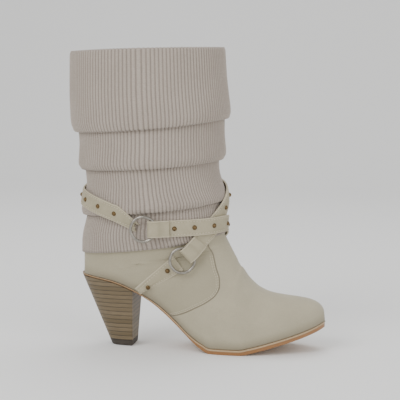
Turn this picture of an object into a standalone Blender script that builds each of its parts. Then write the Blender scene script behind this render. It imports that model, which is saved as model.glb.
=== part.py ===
"""Heeled slouch boot, right foot: leather ankle upper, ribbed knit shaft in folds, stacked heel,
three crossing straps with two rings and dome studs. Metres, +X to the toe, +Y to the inner side of
the foot, +Z up, origin at the middle of the heel's bottom face."""

import math

import bmesh
import bpy
from mathutils import Vector
from mathutils.bvhtree import BVHTree

# Driving sizes of the foot
BOOT_LENGTH = 0.253
BALL_WIDTH = 0.083
SEAT_WIDTH = 0.053
HEEL_HEIGHT = 0.074
TOE_SPRING = 0.0245
INSTEP_RISE = 0.0635
TOE_SWING = 0.003
BACK_X = -0.043

# Outsole, insole and upper walls
FOREFOOT_EDGE = 0.0054
WAIST_EDGE = 0.0026
SEAT_EDGE = 0.0016
WELT_BAND = 0.0018
WELT_STEP = 0.0004
EDGE_TUCK = 0.0009
FEATHER_INSET = 0.0010
UPPER_WALL = 0.0018
INSOLE_THICKNESS = 0.0022
INSOLE_CLEARANCE = 0.0022
GAP = 0.0003
SOLE_STATION_GAP = 0.032

# Heel block
HEEL_BASE_LENGTH = 0.024
HEEL_BASE_WIDTH = 0.026
HEEL_BASE_ROUNDNESS = 2.5
HEEL_SEAT_LENGTH = 0.057
HEEL_INSET = 0.0006
HEEL_STATIONS = 14
TOP_LIFT = 0.0060
LIFT_CHAMFER = 0.0006

# Knit shaft
SHAFT_HEIGHT = 0.232
SHAFT_DEPTH = 0.160
SHAFT_WIDTH = 0.088
SHAFT_AXIS_X = 0.031
SHAFT_SQUARENESS = 2.25
KNIT_WALL = 0.0018
KNIT_LAYER_GAP = 0.0006
FOLD_OVERLAP = 0.010
HEM_DEPTH = 0.022
UPPER_OVERLAP = 0.015
KNIT_TURNS = 2 * 14

# Straps, rings and studs
STRAP_WIDTH = 0.0165
STRAP_THICKNESS = 0.0018
RING_OUTER = 0.028
RING_WIRE = 0.0030
RING_REACH = 0.0047
RING_CLEARANCE = 0.0003
RING_TILT_STEPS = 12
LOOP_TIP = 0.0045
CUT_BLEND = 0.045
SOLE_CLEARANCE = 0.0014
LOOP_LIFT = 0.0010
RING_SIDES = 24
WIRE_SIDES = 6
LOOP_BACK = 0.013
STUD_DIAMETER = 0.0048
STUD_HEIGHT = 0.0019
STUD_SPACING = 0.020
STUD_GAP = 0.0001
STUD_MARGIN = 0.010
STUD_SIDES = 6

MEDIAL, LATERAL = 1, -1


class Table:
    """Rows of shares chosen by hand, read in between by a smooth curve that never overshoots."""

    def __init__(self, columns, rows):
        self.columns = columns
        self.rows = sorted(rows)

    def at(self, column, place):
        index = self.columns.index(column)
        xs = [row[0] for row in self.rows]
        ys = [row[index] for row in self.rows]
        if place <= xs[0]:
            return ys[0]
        if place >= xs[-1]:
            return ys[-1]
        i = max(k for k in range(len(xs) - 1) if xs[k] <= place)
        secants = [(ys[k + 1] - ys[k]) / (xs[k + 1] - xs[k]) for k in range(len(xs) - 1)]
        start, end = self.slope(secants, i), self.slope(secants, i + 1)
        width = xs[i + 1] - xs[i]
        t = (place - xs[i]) / width
        return (
            ys[i] * (1 + 2 * t) * (1 - t) ** 2
            + width * start * t * (1 - t) ** 2
            + ys[i + 1] * t * t * (3 - 2 * t)
            + width * end * t * t * (t - 1)
        )

    @staticmethod
    def slope(secants, k):
        if k == 0:
            return secants[0]
        if k == len(secants):
            return secants[-1]
        before, after = secants[k - 1], secants[k]
        return 2 * before * after / (before + after) if before * after > 0 else 0.0


# Underside of the outsole: along is the share of the boot's length from the back of the heel,
# rise the share of the heel height and spring the share of the toe spring.
SOLE_PROFILE = Table(
    ("along", "rise", "spring"),
    [
        (0.000, 1.000, 0.00),
        (0.130, 0.932, 0.00),
        (0.230, 0.804, 0.00),
        (0.295, 0.676, 0.00),
        (0.350, 0.530, 0.00),
        (0.405, 0.363, 0.00),
        (0.440, 0.252, 0.00),
        (0.475, 0.145, 0.00),
        (0.510, 0.058, 0.00),
        (0.550, 0.000, 0.00),
        (0.670, 0.000, 0.00),
        (0.720, 0.000, 0.10),
        (0.810, 0.000, 0.35),
        (0.900, 0.000, 0.62),
        (0.965, 0.000, 0.85),
        (1.000, 0.000, 1.00),
    ],
)

# Thickness of the outsole's edge, as shares of its three named thicknesses.
SOLE_EDGE = Table(
    ("along", "seat", "waist", "forefoot"),
    [
        (0.00, 1.0, 0.0, 0.0),
        (0.26, 1.0, 0.0, 0.0),
        (0.37, 0.0, 1.0, 0.0),
        (0.44, 0.0, 1.0, 0.0),
        (0.54, 0.0, 0.0, 1.0),
        (1.00, 0.0, 0.0, 1.0),
    ],
)

# Outline of the outsole between the seat and the ball, on the outer and the inner side, as shares
# of the way from half the seat's width (0) to half the ball's width (1).
SEAT_ALONG, BALL_ALONG = 0.165, 0.640
SOLE_WAIST = Table(
    ("along", "outer", "inner"),
    [
        (0.165, 0.00, 0.00),
        (0.250, -0.02, -0.10),
        (0.330, -0.10, -0.38),
        (0.400, 0.00, -0.48),
        (0.460, 0.26, -0.26),
        (0.520, 0.62, 0.18),
        (0.580, 0.90, 0.66),
        (0.640, 1.00, 1.00),
    ],
)
TOE_ROUNDNESS = {LATERAL: 1.85, MEDIAL: 2.15}
HEEL_ROUNDNESS = 2.3

# Sections of the leather upper, from the toe to the ankle. Each is a plane that stands on the sole
# at "foot" (share of the boot's length) and meets the middle of the vamp at "vamp" along, "height"
# above the sole's edge, as a share of the instep rise. Swells are how far the wall stands out past
# its own feather line, as shares of the ball width; belly is how high up the widest place is, crown
# how square the ridge is and flank how upright the side above the widest place.
UPPER_SECTIONS = Table(
    ("number", "foot", "vamp", "height", "outer", "inner", "belly", "crown", "flank"),
    [
        (0, 0.9992, 0.9992, 0.045, 0.002, 0.002, 0.40, 0.62, 0.46),
        (1, 0.9940, 0.9953, 0.174, 0.008, 0.008, 0.42, 0.62, 0.46),
        (2, 0.9820, 0.9842, 0.272, 0.012, 0.012, 0.42, 0.62, 0.46),
        (3, 0.9605, 0.9645, 0.368, 0.016, 0.016, 0.41, 0.62, 0.46),
        (4, 0.9250, 0.9330, 0.463, 0.020, 0.020, 0.40, 0.62, 0.46),
        (5, 0.8735, 0.8855, 0.559, 0.024, 0.024, 0.38, 0.61, 0.46),
        (6, 0.8060, 0.8260, 0.664, 0.028, 0.028, 0.36, 0.59, 0.45),
        (7, 0.7390, 0.7710, 0.786, 0.029, 0.030, 0.35, 0.56, 0.44),
        (8, 0.6760, 0.7275, 0.933, 0.030, 0.032, 0.34, 0.53, 0.43),
        (9, 0.6165, 0.6920, 1.072, 0.030, 0.036, 0.34, 0.51, 0.43),
        (10, 0.5495, 0.6600, 1.240, 0.036, 0.058, 0.35, 0.50, 0.43),
        (11, 0.4785, 0.6425, 1.219, 0.070, 0.122, 0.37, 0.50, 0.44),
        (12, 0.4030, 0.6315, 1.044, 0.120, 0.176, 0.40, 0.52, 0.46),
        (13, 0.3240, 0.6245, 0.834, 0.136, 0.162, 0.43, 0.55, 0.49),
        (14, 0.2410, 0.6200, 0.672, 0.120, 0.118, 0.46, 0.59, 0.52),
        (15, 0.1580, 0.6165, 0.558, 0.111, 0.108, 0.48, 0.62, 0.55),
        (16, 0.0870, 0.6140, 0.514, 0.137, 0.135, 0.49, 0.65, 0.57),
        (17, 0.0395, 0.6125, 0.500, 0.200, 0.198, 0.50, 0.67, 0.58),
        (18, 0.0145, 0.6115, 0.496, 0.272, 0.270, 0.50, 0.68, 0.59),
    ],
)

# The sections that are built: every row, and halfway between rows along the curved arch.
FOOT_SECTIONS = list(range(9)) + [9 + k / 2 for k in range(15)] + [17, 18]

# How far above the knit's lower edge the upper's last rings are, from the lowest to its collar.
COLLAR_RINGS = (-0.0112, -0.0060, -0.0005, 0.0060, 0.0145)

# The shaft's own form at each height above the seat: back and front as shares of its depth from
# the leg's axis, width as the share of its width.
SHAFT_FORM = Table(
    ("rise", "back", "front", "width"),
    [
        (0.080, 0.4645, 0.560, 0.835),
        (0.150, 0.4615, 0.510, 0.865),
        (0.200, 0.4530, 0.480, 0.890),
        (0.263, 0.4375, 0.478, 0.910),
        (0.328, 0.4280, 0.470, 0.920),
        (0.392, 0.4250, 0.440, 0.935),
        (0.478, 0.4440, 0.430, 0.955),
        (0.586, 0.4720, 0.450, 0.975),
        (0.716, 0.5060, 0.470, 1.000),
        (0.845, 0.5300, 0.470, 1.010),
        (1.000, 0.5350, 0.465, 1.000),
    ],
)

# Lower edge of each tier of the knit, as the share of the shaft's height at the back, outer side,
# front and inner side of the leg, and how far its lip rolls out, in walls of the knit.
FOLD_NAMES = ("first", "second", "third", "hem")
FOLDS = {
    "first": {"back": 0.638, "outer": 0.656, "front": 0.700, "inner": 0.660, "roll": 1.8},
    "second": {"back": 0.472, "outer": 0.484, "front": 0.519, "inner": 0.487, "roll": 1.7},
    "third": {"back": 0.270, "outer": 0.295, "front": 0.345, "inner": 0.300, "roll": 1.6},
    "hem": {"back": 0.101, "outer": 0.134, "front": 0.2005, "inner": 0.140, "roll": 0.0},
}
COLLAR = {"back": 0.986, "outer": 1.000, "front": 1.006, "inner": 1.000}

# Middle line of each strap: turn round the leg in degrees (0 at the front, 90 on the inner side,
# 180 at the back, 270 on the outer side) and height above the seat, as a share of the shaft's.
STRAP_PATHS = {
    "heel": [(257, -0.105), (261, -0.072), (267, -0.036), (272, 0.004), (279, 0.045), (286, 0.078)],
    "wrap": [
        (265, 0.244),
        (254, 0.275),
        (235, 0.310),
        (207, 0.343),
        (180, 0.360),
        (155, 0.385),
        (125, 0.412),
        (90, 0.425),
        (55, 0.418),
        (25, 0.390),
        (0, 0.351),
        (-25, 0.268),
        (-38, 0.215),
        (-50, 0.172),
        (-68.5, 0.103),
    ],
    "instep": [
        (91, -0.150),
        (89, -0.095),
        (84, -0.030),
        (74, 0.045),
        (58, 0.115),
        (34, 0.180),
        (14, 0.222),
        (0, 0.240),
        (-18, 0.244),
        (-34, 0.240),
        (-50, 0.235),
        (-66, 0.231),
        (-78, 0.228),
        (-90, 0.227),
    ],
}
STRAP_STEP = 0.0062
STRAP_CLEARANCE = 0.0006
STRAP_SAMPLES = 12


def sole_x(along):
    return BACK_X + along * BOOT_LENGTH


def along_of(x):
    return (x - BACK_X) / BOOT_LENGTH


def underside(x):
    along = along_of(x)
    rise, spring = SOLE_PROFILE.at("rise", along), SOLE_PROFILE.at("spring", along)
    return rise * HEEL_HEIGHT + spring * TOE_SPRING


def sole_slope(x, step=0.002):
    return (underside(x + step) - underside(x - step)) / (2 * step)


def edge_thickness(x):
    along = along_of(x)
    thickness = (
        SOLE_EDGE.at("seat", along) * SEAT_EDGE
        + SOLE_EDGE.at("waist", along) * WAIST_EDGE
        + SOLE_EDGE.at("forefoot", along) * FOREFOOT_EDGE
    )
    return thickness * math.hypot(1.0, sole_slope(x))


def sole_top(x):
    return underside(x) + edge_thickness(x)


def outline(x, side):
    """Y of the outsole's outline on one side of the foot, at x."""
    ball_x, seat_x = sole_x(BALL_ALONG), sole_x(SEAT_ALONG)
    if x > ball_x:
        share = min(1.0, (x - ball_x) / (sole_x(1.0) - ball_x))
        power = TOE_ROUNDNESS[side]
        reach = BALL_WIDTH / 2 - side * TOE_SWING
        return TOE_SWING + side * reach * (1 - share**power) ** (1 / power)
    if x < seat_x:
        share = min(1.0, (seat_x - x) / (seat_x - sole_x(0.0)))
        return side * SEAT_WIDTH / 2 * (1 - share**HEEL_ROUNDNESS) ** (1 / HEEL_ROUNDNESS)
    share = SOLE_WAIST.at("outer" if side == LATERAL else "inner", along_of(x))
    return side * (SEAT_WIDTH + share * (BALL_WIDTH - SEAT_WIDTH)) / 2


def around(values, turn):
    """A value given at the four sides of the leg, at any turn round it."""
    front, inner, back, outer = (values[name] for name in ("front", "inner", "back", "outer"))
    return (
        (front + inner + back + outer) / 4
        + (front - back) / 2 * math.cos(turn)
        + (inner - outer) / 2 * math.sin(turn)
        + (front - inner + back - outer) / 4 * math.cos(2 * turn)
    )


def leg_height(share):
    return HEEL_HEIGHT + share * SHAFT_HEIGHT


def leg_point(turn, z, outward=0.0):
    """A point on the shaft's form at a turn round the leg and a height, moved outward."""
    rise = (z - HEEL_HEIGHT) / SHAFT_HEIGHT
    back = SHAFT_AXIS_X - SHAFT_FORM.at("back", rise) * SHAFT_DEPTH
    front = SHAFT_AXIS_X + SHAFT_FORM.at("front", rise) * SHAFT_DEPTH
    half_depth = (front - back) / 2 + outward
    half_width = SHAFT_FORM.at("width", rise) * SHAFT_WIDTH / 2 + outward
    power = 2 / SHAFT_SQUARENESS
    c, s = math.cos(turn), math.sin(turn)
    return Vector(
        (
            (front + back) / 2 + half_depth * math.copysign(abs(c) ** power, c),
            half_width * math.copysign(abs(s) ** power, s),
            z,
        )
    )


def bezier(points, t):
    a, b, c, d = points
    return [
        (1 - t) ** 3 * p + 3 * (1 - t) ** 2 * t * q + 3 * (1 - t) * t * t * r + t**3 * s
        for p, q, r, s in zip(a, b, c, d)
    ]


def half_section(ridge, widest, end, belly, crown, flank):
    """(height share, y) down one side of a section, from its ridge to the sole's edge."""
    upper = (
        (1.0, ridge),
        (1.0, ridge + crown * (widest - ridge)),
        (belly + flank * (1 - belly), widest),
        (belly, widest),
    )
    tuck = 0.15 * belly * end / widest
    lower = (
        (belly, widest),
        (0.45 * belly, widest),
        (tuck, end + 0.55 * (widest - end)),
        (0.0, end),
    )
    points = [bezier(upper, k / STEPS_UP) for k in range(STEPS_UP)]
    return points + [bezier(lower, k / STEPS_DOWN) for k in range(STEPS_DOWN + 1)]


STEPS_UP, STEPS_DOWN = 8, 6


def foot_section(number):
    """One section of the upper's outer face: a list of points from the outer side's sole edge
    over the ridge to the inner side's."""
    row = {name: UPPER_SECTIONS.at(name, number) for name in UPPER_SECTIONS.columns}
    foot_x, vamp_x = sole_x(row["foot"]), sole_x(row["vamp"])
    foot_z = sole_top(foot_x) + GAP
    toe_share = max(0.0, (row["foot"] - BALL_ALONG) / (1 - BALL_ALONG))
    vamp_z = foot_z + row["height"] * INSTEP_RISE
    ridge = TOE_SWING * toe_share
    sides = []
    for side, swell in ((LATERAL, row["outer"]), (MEDIAL, row["inner"])):
        end = outline(foot_x, side) - side * FEATHER_INSET
        widest = end + side * swell * BALL_WIDTH
        half = half_section(ridge, widest, end, row["belly"], row["crown"], row["flank"])
        sides.append(
            [
                Vector((foot_x + t * (vamp_x - foot_x), y, foot_z + t * (vamp_z - foot_z)))
                for t, y in half
            ]
        )
    return sides[0][::-1] + sides[1][1:]


def ankle_section(drop):
    """A ring of the upper under the knit, at a distance above the knit's lower edge."""
    inset = KNIT_WALL + GAP
    count = STEPS_UP + STEPS_DOWN
    turns = [math.pi * k / count for k in range(count + 1)]
    ring = []
    for side, order in ((LATERAL, turns[::-1]), (MEDIAL, turns[1:])):
        for turn in order:
            z = leg_height(around(FOLDS["hem"], side * turn)) + drop
            ring.append(leg_point(side * turn, z, -inset))
    return ring


def new_object(name, mesh, material):
    obj = bpy.data.objects.new(name, mesh)
    bpy.data.collections[COLLECTION].objects.link(obj)
    mesh.materials.append(material)
    return obj


def mesh_of(bm, name):
    bmesh.ops.remove_doubles(bm, verts=bm.verts, dist=1e-6)
    bmesh.ops.recalc_face_normals(bm, faces=bm.faces)
    mesh = bpy.data.meshes.new(name)
    bm.to_mesh(mesh)
    bm.free()
    mesh.shade_smooth()
    mesh.set_sharp_from_angle(angle=math.radians(40))
    return mesh


def loft(bm, rings, closed_ring=True, capped=True):
    """Faces between rings of as many points each, with the two end rings filled when capped."""
    rows = [[bm.verts.new(point) for point in ring] for ring in rings]
    count = len(rows[0])
    for a, b in zip(rows, rows[1:]):
        for k in range(count if closed_ring else count - 1):
            n = (k + 1) % count
            bm.faces.new((a[k], a[n], b[n], b[k]))
    if capped:
        bm.faces.new(rows[0][::-1])
        bm.faces.new(rows[-1])
    return rows


def finish(name, colour, roughness, metallic=0.0):
    """A material with the colour of the photograph's surface."""
    material = bpy.data.materials.new(name)
    material.use_nodes = True
    shader = material.node_tree.nodes["Principled BSDF"]
    shader.inputs["Base Color"].default_value = (*colour, 1.0)
    shader.inputs["Roughness"].default_value = roughness
    shader.inputs["Metallic"].default_value = metallic
    return material


def sole_stations():
    """Places along the sole: under every section of the upper, halfway between those that are
    far apart, and at the two round tips."""
    feet = sorted(UPPER_SECTIONS.at("foot", number) for number in FOOT_SECTIONS)
    places = [0.0012, 0.0060] + feet
    for a, b in zip(feet, feet[1:]):
        if b - a > SOLE_STATION_GAP:
            places.append((a + b) / 2)
    return sorted(places)


def outsole_ring(along):
    """One station of the outsole: top, welt band, step and underside, outer then inner side."""
    x = sole_x(along)
    top, bottom = sole_top(x), underside(x)
    band = min(WELT_BAND, 0.4 * (top - bottom))
    outer, inner = outline(x, LATERAL), outline(x, MEDIAL)
    narrow = min(1.0, (inner - outer) / (8 * EDGE_TUCK))
    step, tuck = WELT_STEP * narrow, EDGE_TUCK * narrow
    side_points = [(0.0, top), (0.0, top - band), (step, top - band), (step + tuck, bottom)]
    ring = [Vector((x, outer + inset, z)) for inset, z in side_points]
    ring += [Vector((x, inner - inset, z)) for inset, z in reversed(side_points)]
    return ring


def make_outsole(material):
    bm = bmesh.new()
    loft(bm, [outsole_ring(along) for along in sole_stations()])
    return new_object("outsole", mesh_of(bm, "outsole"), material)


def make_insole(material):
    """The insole lies on the outsole inside the upper's wall."""
    inset = FEATHER_INSET + UPPER_WALL + INSOLE_CLEARANCE
    bm = bmesh.new()
    rings = []
    for along in sole_stations():
        x = sole_x(along)
        low = sole_top(x) + GAP
        high = low + INSOLE_THICKNESS
        outer, inner = outline(x, LATERAL) + inset, outline(x, MEDIAL) - inset
        if inner - outer > 4 * inset and 0.025 < along < 0.975:
            corners = ((outer, low), (inner, low), (inner, high), (outer, high))
            rings.append([Vector((x, y, z)) for y, z in corners])
    loft(bm, rings)
    return new_object("insole", mesh_of(bm, "insole"), material)


def line_shell(bm, wall):
    """Gives an open surface a wall: an inner face one wall in, level at the open edges and never
    below the outsole's top, with rims between the two faces."""
    bmesh.ops.remove_doubles(bm, verts=bm.verts, dist=1e-6)
    bmesh.ops.recalc_face_normals(bm, faces=bm.faces)
    bm.normal_update()
    faces, edges = list(bm.faces), [edge for edge in bm.edges if edge.is_boundary]
    inner = {}
    for vert in list(bm.verts):
        inward = -vert.normal
        if vert.is_boundary:
            inward = Vector((inward.x, inward.y, 0.0)).normalized()
        place = vert.co + inward * wall
        place.z = max(place.z, sole_top(place.x) + GAP)
        inner[vert] = bm.verts.new(place)
    for edge in edges:
        a, b = edge.link_loops[0].vert, edge.link_loops[0].link_loop_next.vert
        bm.faces.new((b, a, inner[a], inner[b]))
    for face in faces:
        bm.faces.new([inner[vert] for vert in reversed(face.verts)])


def make_upper(material):
    """The lasted leather shell, one wall thick, open at the ankle and under the foot."""
    rings = [foot_section(number) for number in FOOT_SECTIONS]
    first_closed = len(rings)
    rings += [ankle_section(drop) for drop in COLLAR_RINGS]
    bm = bmesh.new()
    rows = loft(bm, rings, closed_ring=False, capped=False)
    bm.faces.new(rows[0][::-1])
    for row in rows[first_closed:]:
        row[-1].co = row[0].co
    line_shell(bm, UPPER_WALL)
    return new_object("upper", mesh_of(bm, "upper"), material)


def heel_side(x, side, z):
    """A point on the heel's side: straight lines from the sole's outline down to the base."""
    seat_front = sole_x(0.0) + HEEL_INSET + HEEL_SEAT_LENGTH
    share = (seat_front - x) / HEEL_SEAT_LENGTH
    base_half = HEEL_BASE_WIDTH / 2 * (1 - share**HEEL_BASE_ROUNDNESS) ** (1 / HEEL_BASE_ROUNDNESS)
    base = Vector((HEEL_BASE_LENGTH * (0.5 - share), side * base_half, 0.0))
    seat = Vector((x, outline(x, side) - side * HEEL_INSET, underside(x) - GAP))
    return base.lerp(seat, z / seat.z)


def heel_stations():
    """Places along the heel's seat from its breast to its back, closer together at the back."""
    front = sole_x(0.0) + HEEL_INSET + HEEL_SEAT_LENGTH
    count = HEEL_STATIONS
    shares = [math.sin(0.5 * math.pi * k / count) for k in range(count)] + [0.9990]
    return [front - share * HEEL_SEAT_LENGTH for share in shares]


def strip_loft(bm, levels):
    """A solid between levels, each a list of (outer point, inner point) pairs from the breast to
    the back; the two end levels are closed by strips across, so they may be curved."""
    rings = [[pair[0] for pair in level] + [pair[1] for pair in reversed(level)] for level in levels]
    rows = loft(bm, rings, capped=False)
    for row in (rows[0], rows[-1]):
        for k in range(len(row) // 2 - 1):
            bm.faces.new((row[k], row[k + 1], row[-2 - k], row[-1 - k]))


def make_heel(material):
    """The stacked heel block under the seat, with a flat breast."""
    bm = bmesh.new()
    stations = heel_stations()
    low = TOP_LIFT + GAP
    base = [(heel_side(x, LATERAL, low), heel_side(x, MEDIAL, low)) for x in stations]
    top = []
    for x in stations:
        z = underside(x) - GAP
        top.append((heel_side(x, LATERAL, z), heel_side(x, MEDIAL, z)))
    strip_loft(bm, [top, base])
    return new_object("heel", mesh_of(bm, "heel"), material)


def make_top_lift(material):
    """The rubber top lift under the heel, flat on the ground, with a small chamfer."""
    bm = bmesh.new()
    stations = heel_stations()
    levels = []
    for z, inset in ((TOP_LIFT, 0.0), (LIFT_CHAMFER, 0.0), (0.0, LIFT_CHAMFER)):
        level = [[heel_side(x, side, z) for side in (LATERAL, MEDIAL)] for x in stations]
        scale_x = 1 - 2 * inset / HEEL_BASE_LENGTH
        scale_y = 1 - 2 * inset / HEEL_BASE_WIDTH
        for pair in level:
            for point in pair:
                point.x, point.y = point.x * scale_x, point.y * scale_y
        levels.append(level)
    strip_loft(bm, levels)
    return new_object("top_lift", mesh_of(bm, "top_lift"), material)


def knit_profile(turn):
    """The knit's middle line at one turn round the leg, as (outward, z) from the hem turned in at
    the collar, down over every fold, to the lower edge on the leather."""
    layer = KNIT_WALL + KNIT_LAYER_GAP
    top = leg_height(around(COLLAR, turn))
    at = -0.5 * KNIT_WALL
    line = [
        (at - layer, top - HEM_DEPTH),
        (at - layer, top - HEM_DEPTH / 2),
        (at - layer, top - 1.1 * KNIT_WALL),
        (at - layer / 2, top - 0.5 * KNIT_WALL),
        (at, top - 1.1 * KNIT_WALL),
    ]
    for name in FOLD_NAMES[:-1]:
        lip = leg_height(around(FOLDS[name], turn))
        start, start_z = line[-1]
        span = start_z - lip
        roll = FOLDS[name]["roll"] * KNIT_WALL / 2
        out = layer + roll
        line += [
            (start + 0.22 * (out - start), lip + 0.62 * span),
            (start + 0.58 * (out - start), lip + 0.38 * span),
            (out, lip + 0.14 * span),
            (out - 0.55 * roll, lip + 1.6 * KNIT_WALL),
            (out - 0.55 * roll - layer / 2, lip + 0.5 * KNIT_WALL),
            (0.0, lip + 1.7 * KNIT_WALL),
            (0.0, lip + FOLD_OVERLAP - 0.7 * KNIT_WALL),
            (-layer / 2, lip + FOLD_OVERLAP),
            (-layer, lip + FOLD_OVERLAP - 0.7 * KNIT_WALL),
        ]
    hem = leg_height(around(FOLDS["hem"], turn))
    start, start_z = line[-1]
    on_leather = hem + UPPER_OVERLAP + 0.004
    line += [
        (start, 0.65 * start_z + 0.35 * on_leather),
        (at, on_leather),
        (at, hem + 0.5 * UPPER_OVERLAP),
        (at, hem),
    ]
    return line


def thicken(line, wall):
    """Both faces of a strip of fabric, half a wall to each side of its middle line."""
    left, right = [], []
    for k, (o, z) in enumerate(line):
        before, after = line[max(k - 1, 0)], line[min(k + 1, len(line) - 1)]
        normal = Vector((0.0, 0.0))
        for a, b in ((before, (o, z)), ((o, z), after)):
            edge = Vector((b[0] - a[0], b[1] - a[1]))
            if edge.length > 0:
                normal += Vector((edge.y, -edge.x)).normalized()
        normal.normalize()
        left.append((o + normal.x * wall / 2, z + normal.y * wall / 2))
        right.append((o - normal.x * wall / 2, z - normal.y * wall / 2))
    return left + right[::-1]


def make_shaft(material):
    """The ribbed knit shaft: one tube of fabric in four tiers, each fold doubled back on itself."""
    bm = bmesh.new()
    rings = []
    for k in range(KNIT_TURNS):
        turn = 2 * math.pi * k / KNIT_TURNS
        section = thicken(knit_profile(turn), KNIT_WALL)
        rings.append([leg_point(turn, z, outward) for outward, z in section])
    loft(bm, rings + [rings[0]], capped=False)
    return new_object("shaft_knit", mesh_of(bm, "shaft_knit"), material)


def surface_tree(objects):
    """One search tree over the faces of these objects, with their modifiers applied."""
    points, faces = [], []
    depsgraph = bpy.context.evaluated_depsgraph_get()
    for obj in objects:
        shown = obj.evaluated_get(depsgraph)
        mesh = shown.to_mesh()
        start = len(points)
        points += [vertex.co.copy() for vertex in mesh.vertices]
        faces += [[start + index for index in face.vertices] for face in mesh.polygons]
        shown.to_mesh_clear()
    return BVHTree.FromPolygons(points, faces)


def curve_through(rows, samples):
    """A smooth path through rows of numbers (a Catmull-Rom curve), in small equal steps."""
    padded = [rows[0]] + list(rows) + [rows[-1]]
    path = []
    for a, b, c, d in zip(padded, padded[1:], padded[2:], padded[3:]):
        for k in range(samples):
            t = k / samples
            weights = (
                -0.5 * t + t * t - 0.5 * t**3,
                1 - 2.5 * t * t + 1.5 * t**3,
                0.5 * t + 2 * t * t - 1.5 * t**3,
                -0.5 * t * t + 0.5 * t**3,
            )
            path.append([sum(w * v for w, v in zip(weights, quad)) for quad in zip(a, b, c, d)])
    return path + [list(rows[-1])]


def spread_out(values, reach, rounds):
    """Heights along a strap raised to the highest place nearby, then evened out like taut
    leather, never lower than the surface under them."""
    count = len(values)
    raised = [max(values[max(0, k - reach) : k + reach + 1]) for k in range(count)]
    result = raised
    for _ in range(rounds):
        even = []
        for k in range(count):
            near = result[max(0, k - reach) : k + reach + 1]
            even.append(max(values[k], sum(near) / len(near)))
        result = even
    return result


class Lay:
    """A strap's bed: where its inner face lies on the surfaces under it, at its two edges and its
    middle, found by looking inward from outside the leg."""

    REACH = 0.060

    def __init__(self, tree, rows, flat_end=0.0):
        self.tree, self.flat_end = tree, flat_end
        path = curve_through(rows, STRAP_SAMPLES)
        self.bases, self.outs = [], []
        for turn, share in path:
            turn, z = math.radians(turn), leg_height(share)
            base = leg_point(turn, z)
            tangent = leg_point(turn + 0.01, z) - base
            self.bases.append(base)
            self.outs.append(Vector((tangent.y, -tangent.x, 0.0)).normalized())
        points = self.bases
        for _ in range(2):
            self.measure(points)
            points = self.beds[1]
        self.lengths = [0.0]
        for a, b in zip(self.beds[1], self.beds[1][1:]):
            self.lengths.append(self.lengths[-1] + (b - a).length)
        self.length = self.lengths[-1]

    def depth(self, place, out):
        hit = self.tree.ray_cast(place + out * self.REACH, -out, 2 * self.REACH)
        return None if hit[0] is None else self.REACH - hit[3]

    def measure(self, points):
        count = len(points)
        columns = [[] for _ in range(5)]
        self.acrosses = []
        for k in range(count):
            along = points[min(k + 3, count - 1)] - points[max(k - 3, 0)]
            across = self.outs[k].cross(along).normalized()
            self.acrosses.append(across)
            found = [
                self.depth(self.bases[k] + across * STRAP_WIDTH * share, self.outs[k])
                for share in (-0.5, -0.25, 0.0, 0.25, 0.5)
            ]
            for column, value in zip(columns, found):
                column.append(found[2] if value is None else value)
        for column in columns:
            known = [k for k in range(count) if column[k] is not None]
            for k in range(count):
                if column[k] is None:
                    column[k] = column[min(known, key=lambda other: abs(other - k))]
        edges = [
            [max(pair) for pair in zip(columns[0], columns[1])],
            [max(trio) for trio in zip(columns[1], columns[2], columns[3])],
            [max(pair) for pair in zip(columns[3], columns[4])],
        ]
        edges = [spread_out(edge, 4, 3) for edge in edges]
        if self.flat_end:
            self.flatten(points, edges)
        self.beds = []
        for share, edge in zip((-0.5, 0.0, 0.5), edges):
            self.beds.append(
                [
                    base + across * STRAP_WIDTH * share + out * (height + STRAP_CLEARANCE)
                    for base, across, out, height in zip(self.bases, self.acrosses, self.outs, edge)
                ]
            )

    def flatten(self, points, edges):
        """Makes the bed flat where the strap is folded round a ring, a little clear of the leg."""
        left = [0.0]
        for a, b in zip(points[::-1], points[-2::-1]):
            left.append(left[-1] + (b - a).length)
        left.reverse()
        level = max(edge[k] for edge in edges for k in range(len(left)) if left[k] < self.flat_end)
        for edge in edges:
            for k, distance in enumerate(left):
                share = min(1.0, max(0.0, 2.0 - distance / self.flat_end))
                share = share * share * (3 - 2 * share)
                edge[k] += share * (level + LOOP_LIFT - edge[k])

    def at(self, s):
        """The three inner points and the outward direction at a length along the strap."""
        s = min(max(s, 0.0), self.length)
        k = max(i for i in range(len(self.lengths) - 1) if self.lengths[i] <= s)
        t = (s - self.lengths[k]) / max(self.lengths[k + 1] - self.lengths[k], 1e-9)
        points = [bed[k].lerp(bed[k + 1], t) for bed in self.beds]
        ahead = self.beds[1][k + 1] - self.beds[1][k]
        out = ahead.cross(points[2] - points[0]).normalized()
        return points, out


def strap_line(lay, start, end, loop):
    """(length, height of the strap's middle) along a strap, with the end folded back round a
    ring's wire when it has a loop."""
    half = STRAP_THICKNESS / 2
    steps = max(2, round((end - start) / STRAP_STEP))
    line = [(start + (end - start) * k / steps, half) for k in range(steps + 1)]
    if not loop:
        return line
    radius = (RING_WIRE + STRAP_THICKNESS) / 2 + 1.5 * GAP
    high = half + 2 * radius
    for degrees in (36, 72, 108, 144):
        a = math.radians(degrees)
        line.append((end + radius * math.sin(a), half + radius * (1 - math.cos(a))))
    folded = half + STRAP_THICKNESS + GAP
    line += [
        (end, high),
        (end - RING_REACH, high),
        (end - RING_REACH - 0.0025, high - 0.0011),
        (end - RING_REACH - 0.0055, folded + 0.0003),
        (end - RING_REACH - LOOP_BACK, folded),
    ]
    return line


def sole_cut(lay):
    """How far along each of a strap's three lines it first stands clear of the sole's edge."""
    cuts = []
    for j in range(3):
        s = 0.0
        while s < lay.length / 2:
            point = lay.at(s)[0][j]
            if point.z > sole_top(point.x) + SOLE_CLEARANCE:
                break
            s += 0.0004
        cuts.append(s)
    return cuts


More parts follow.
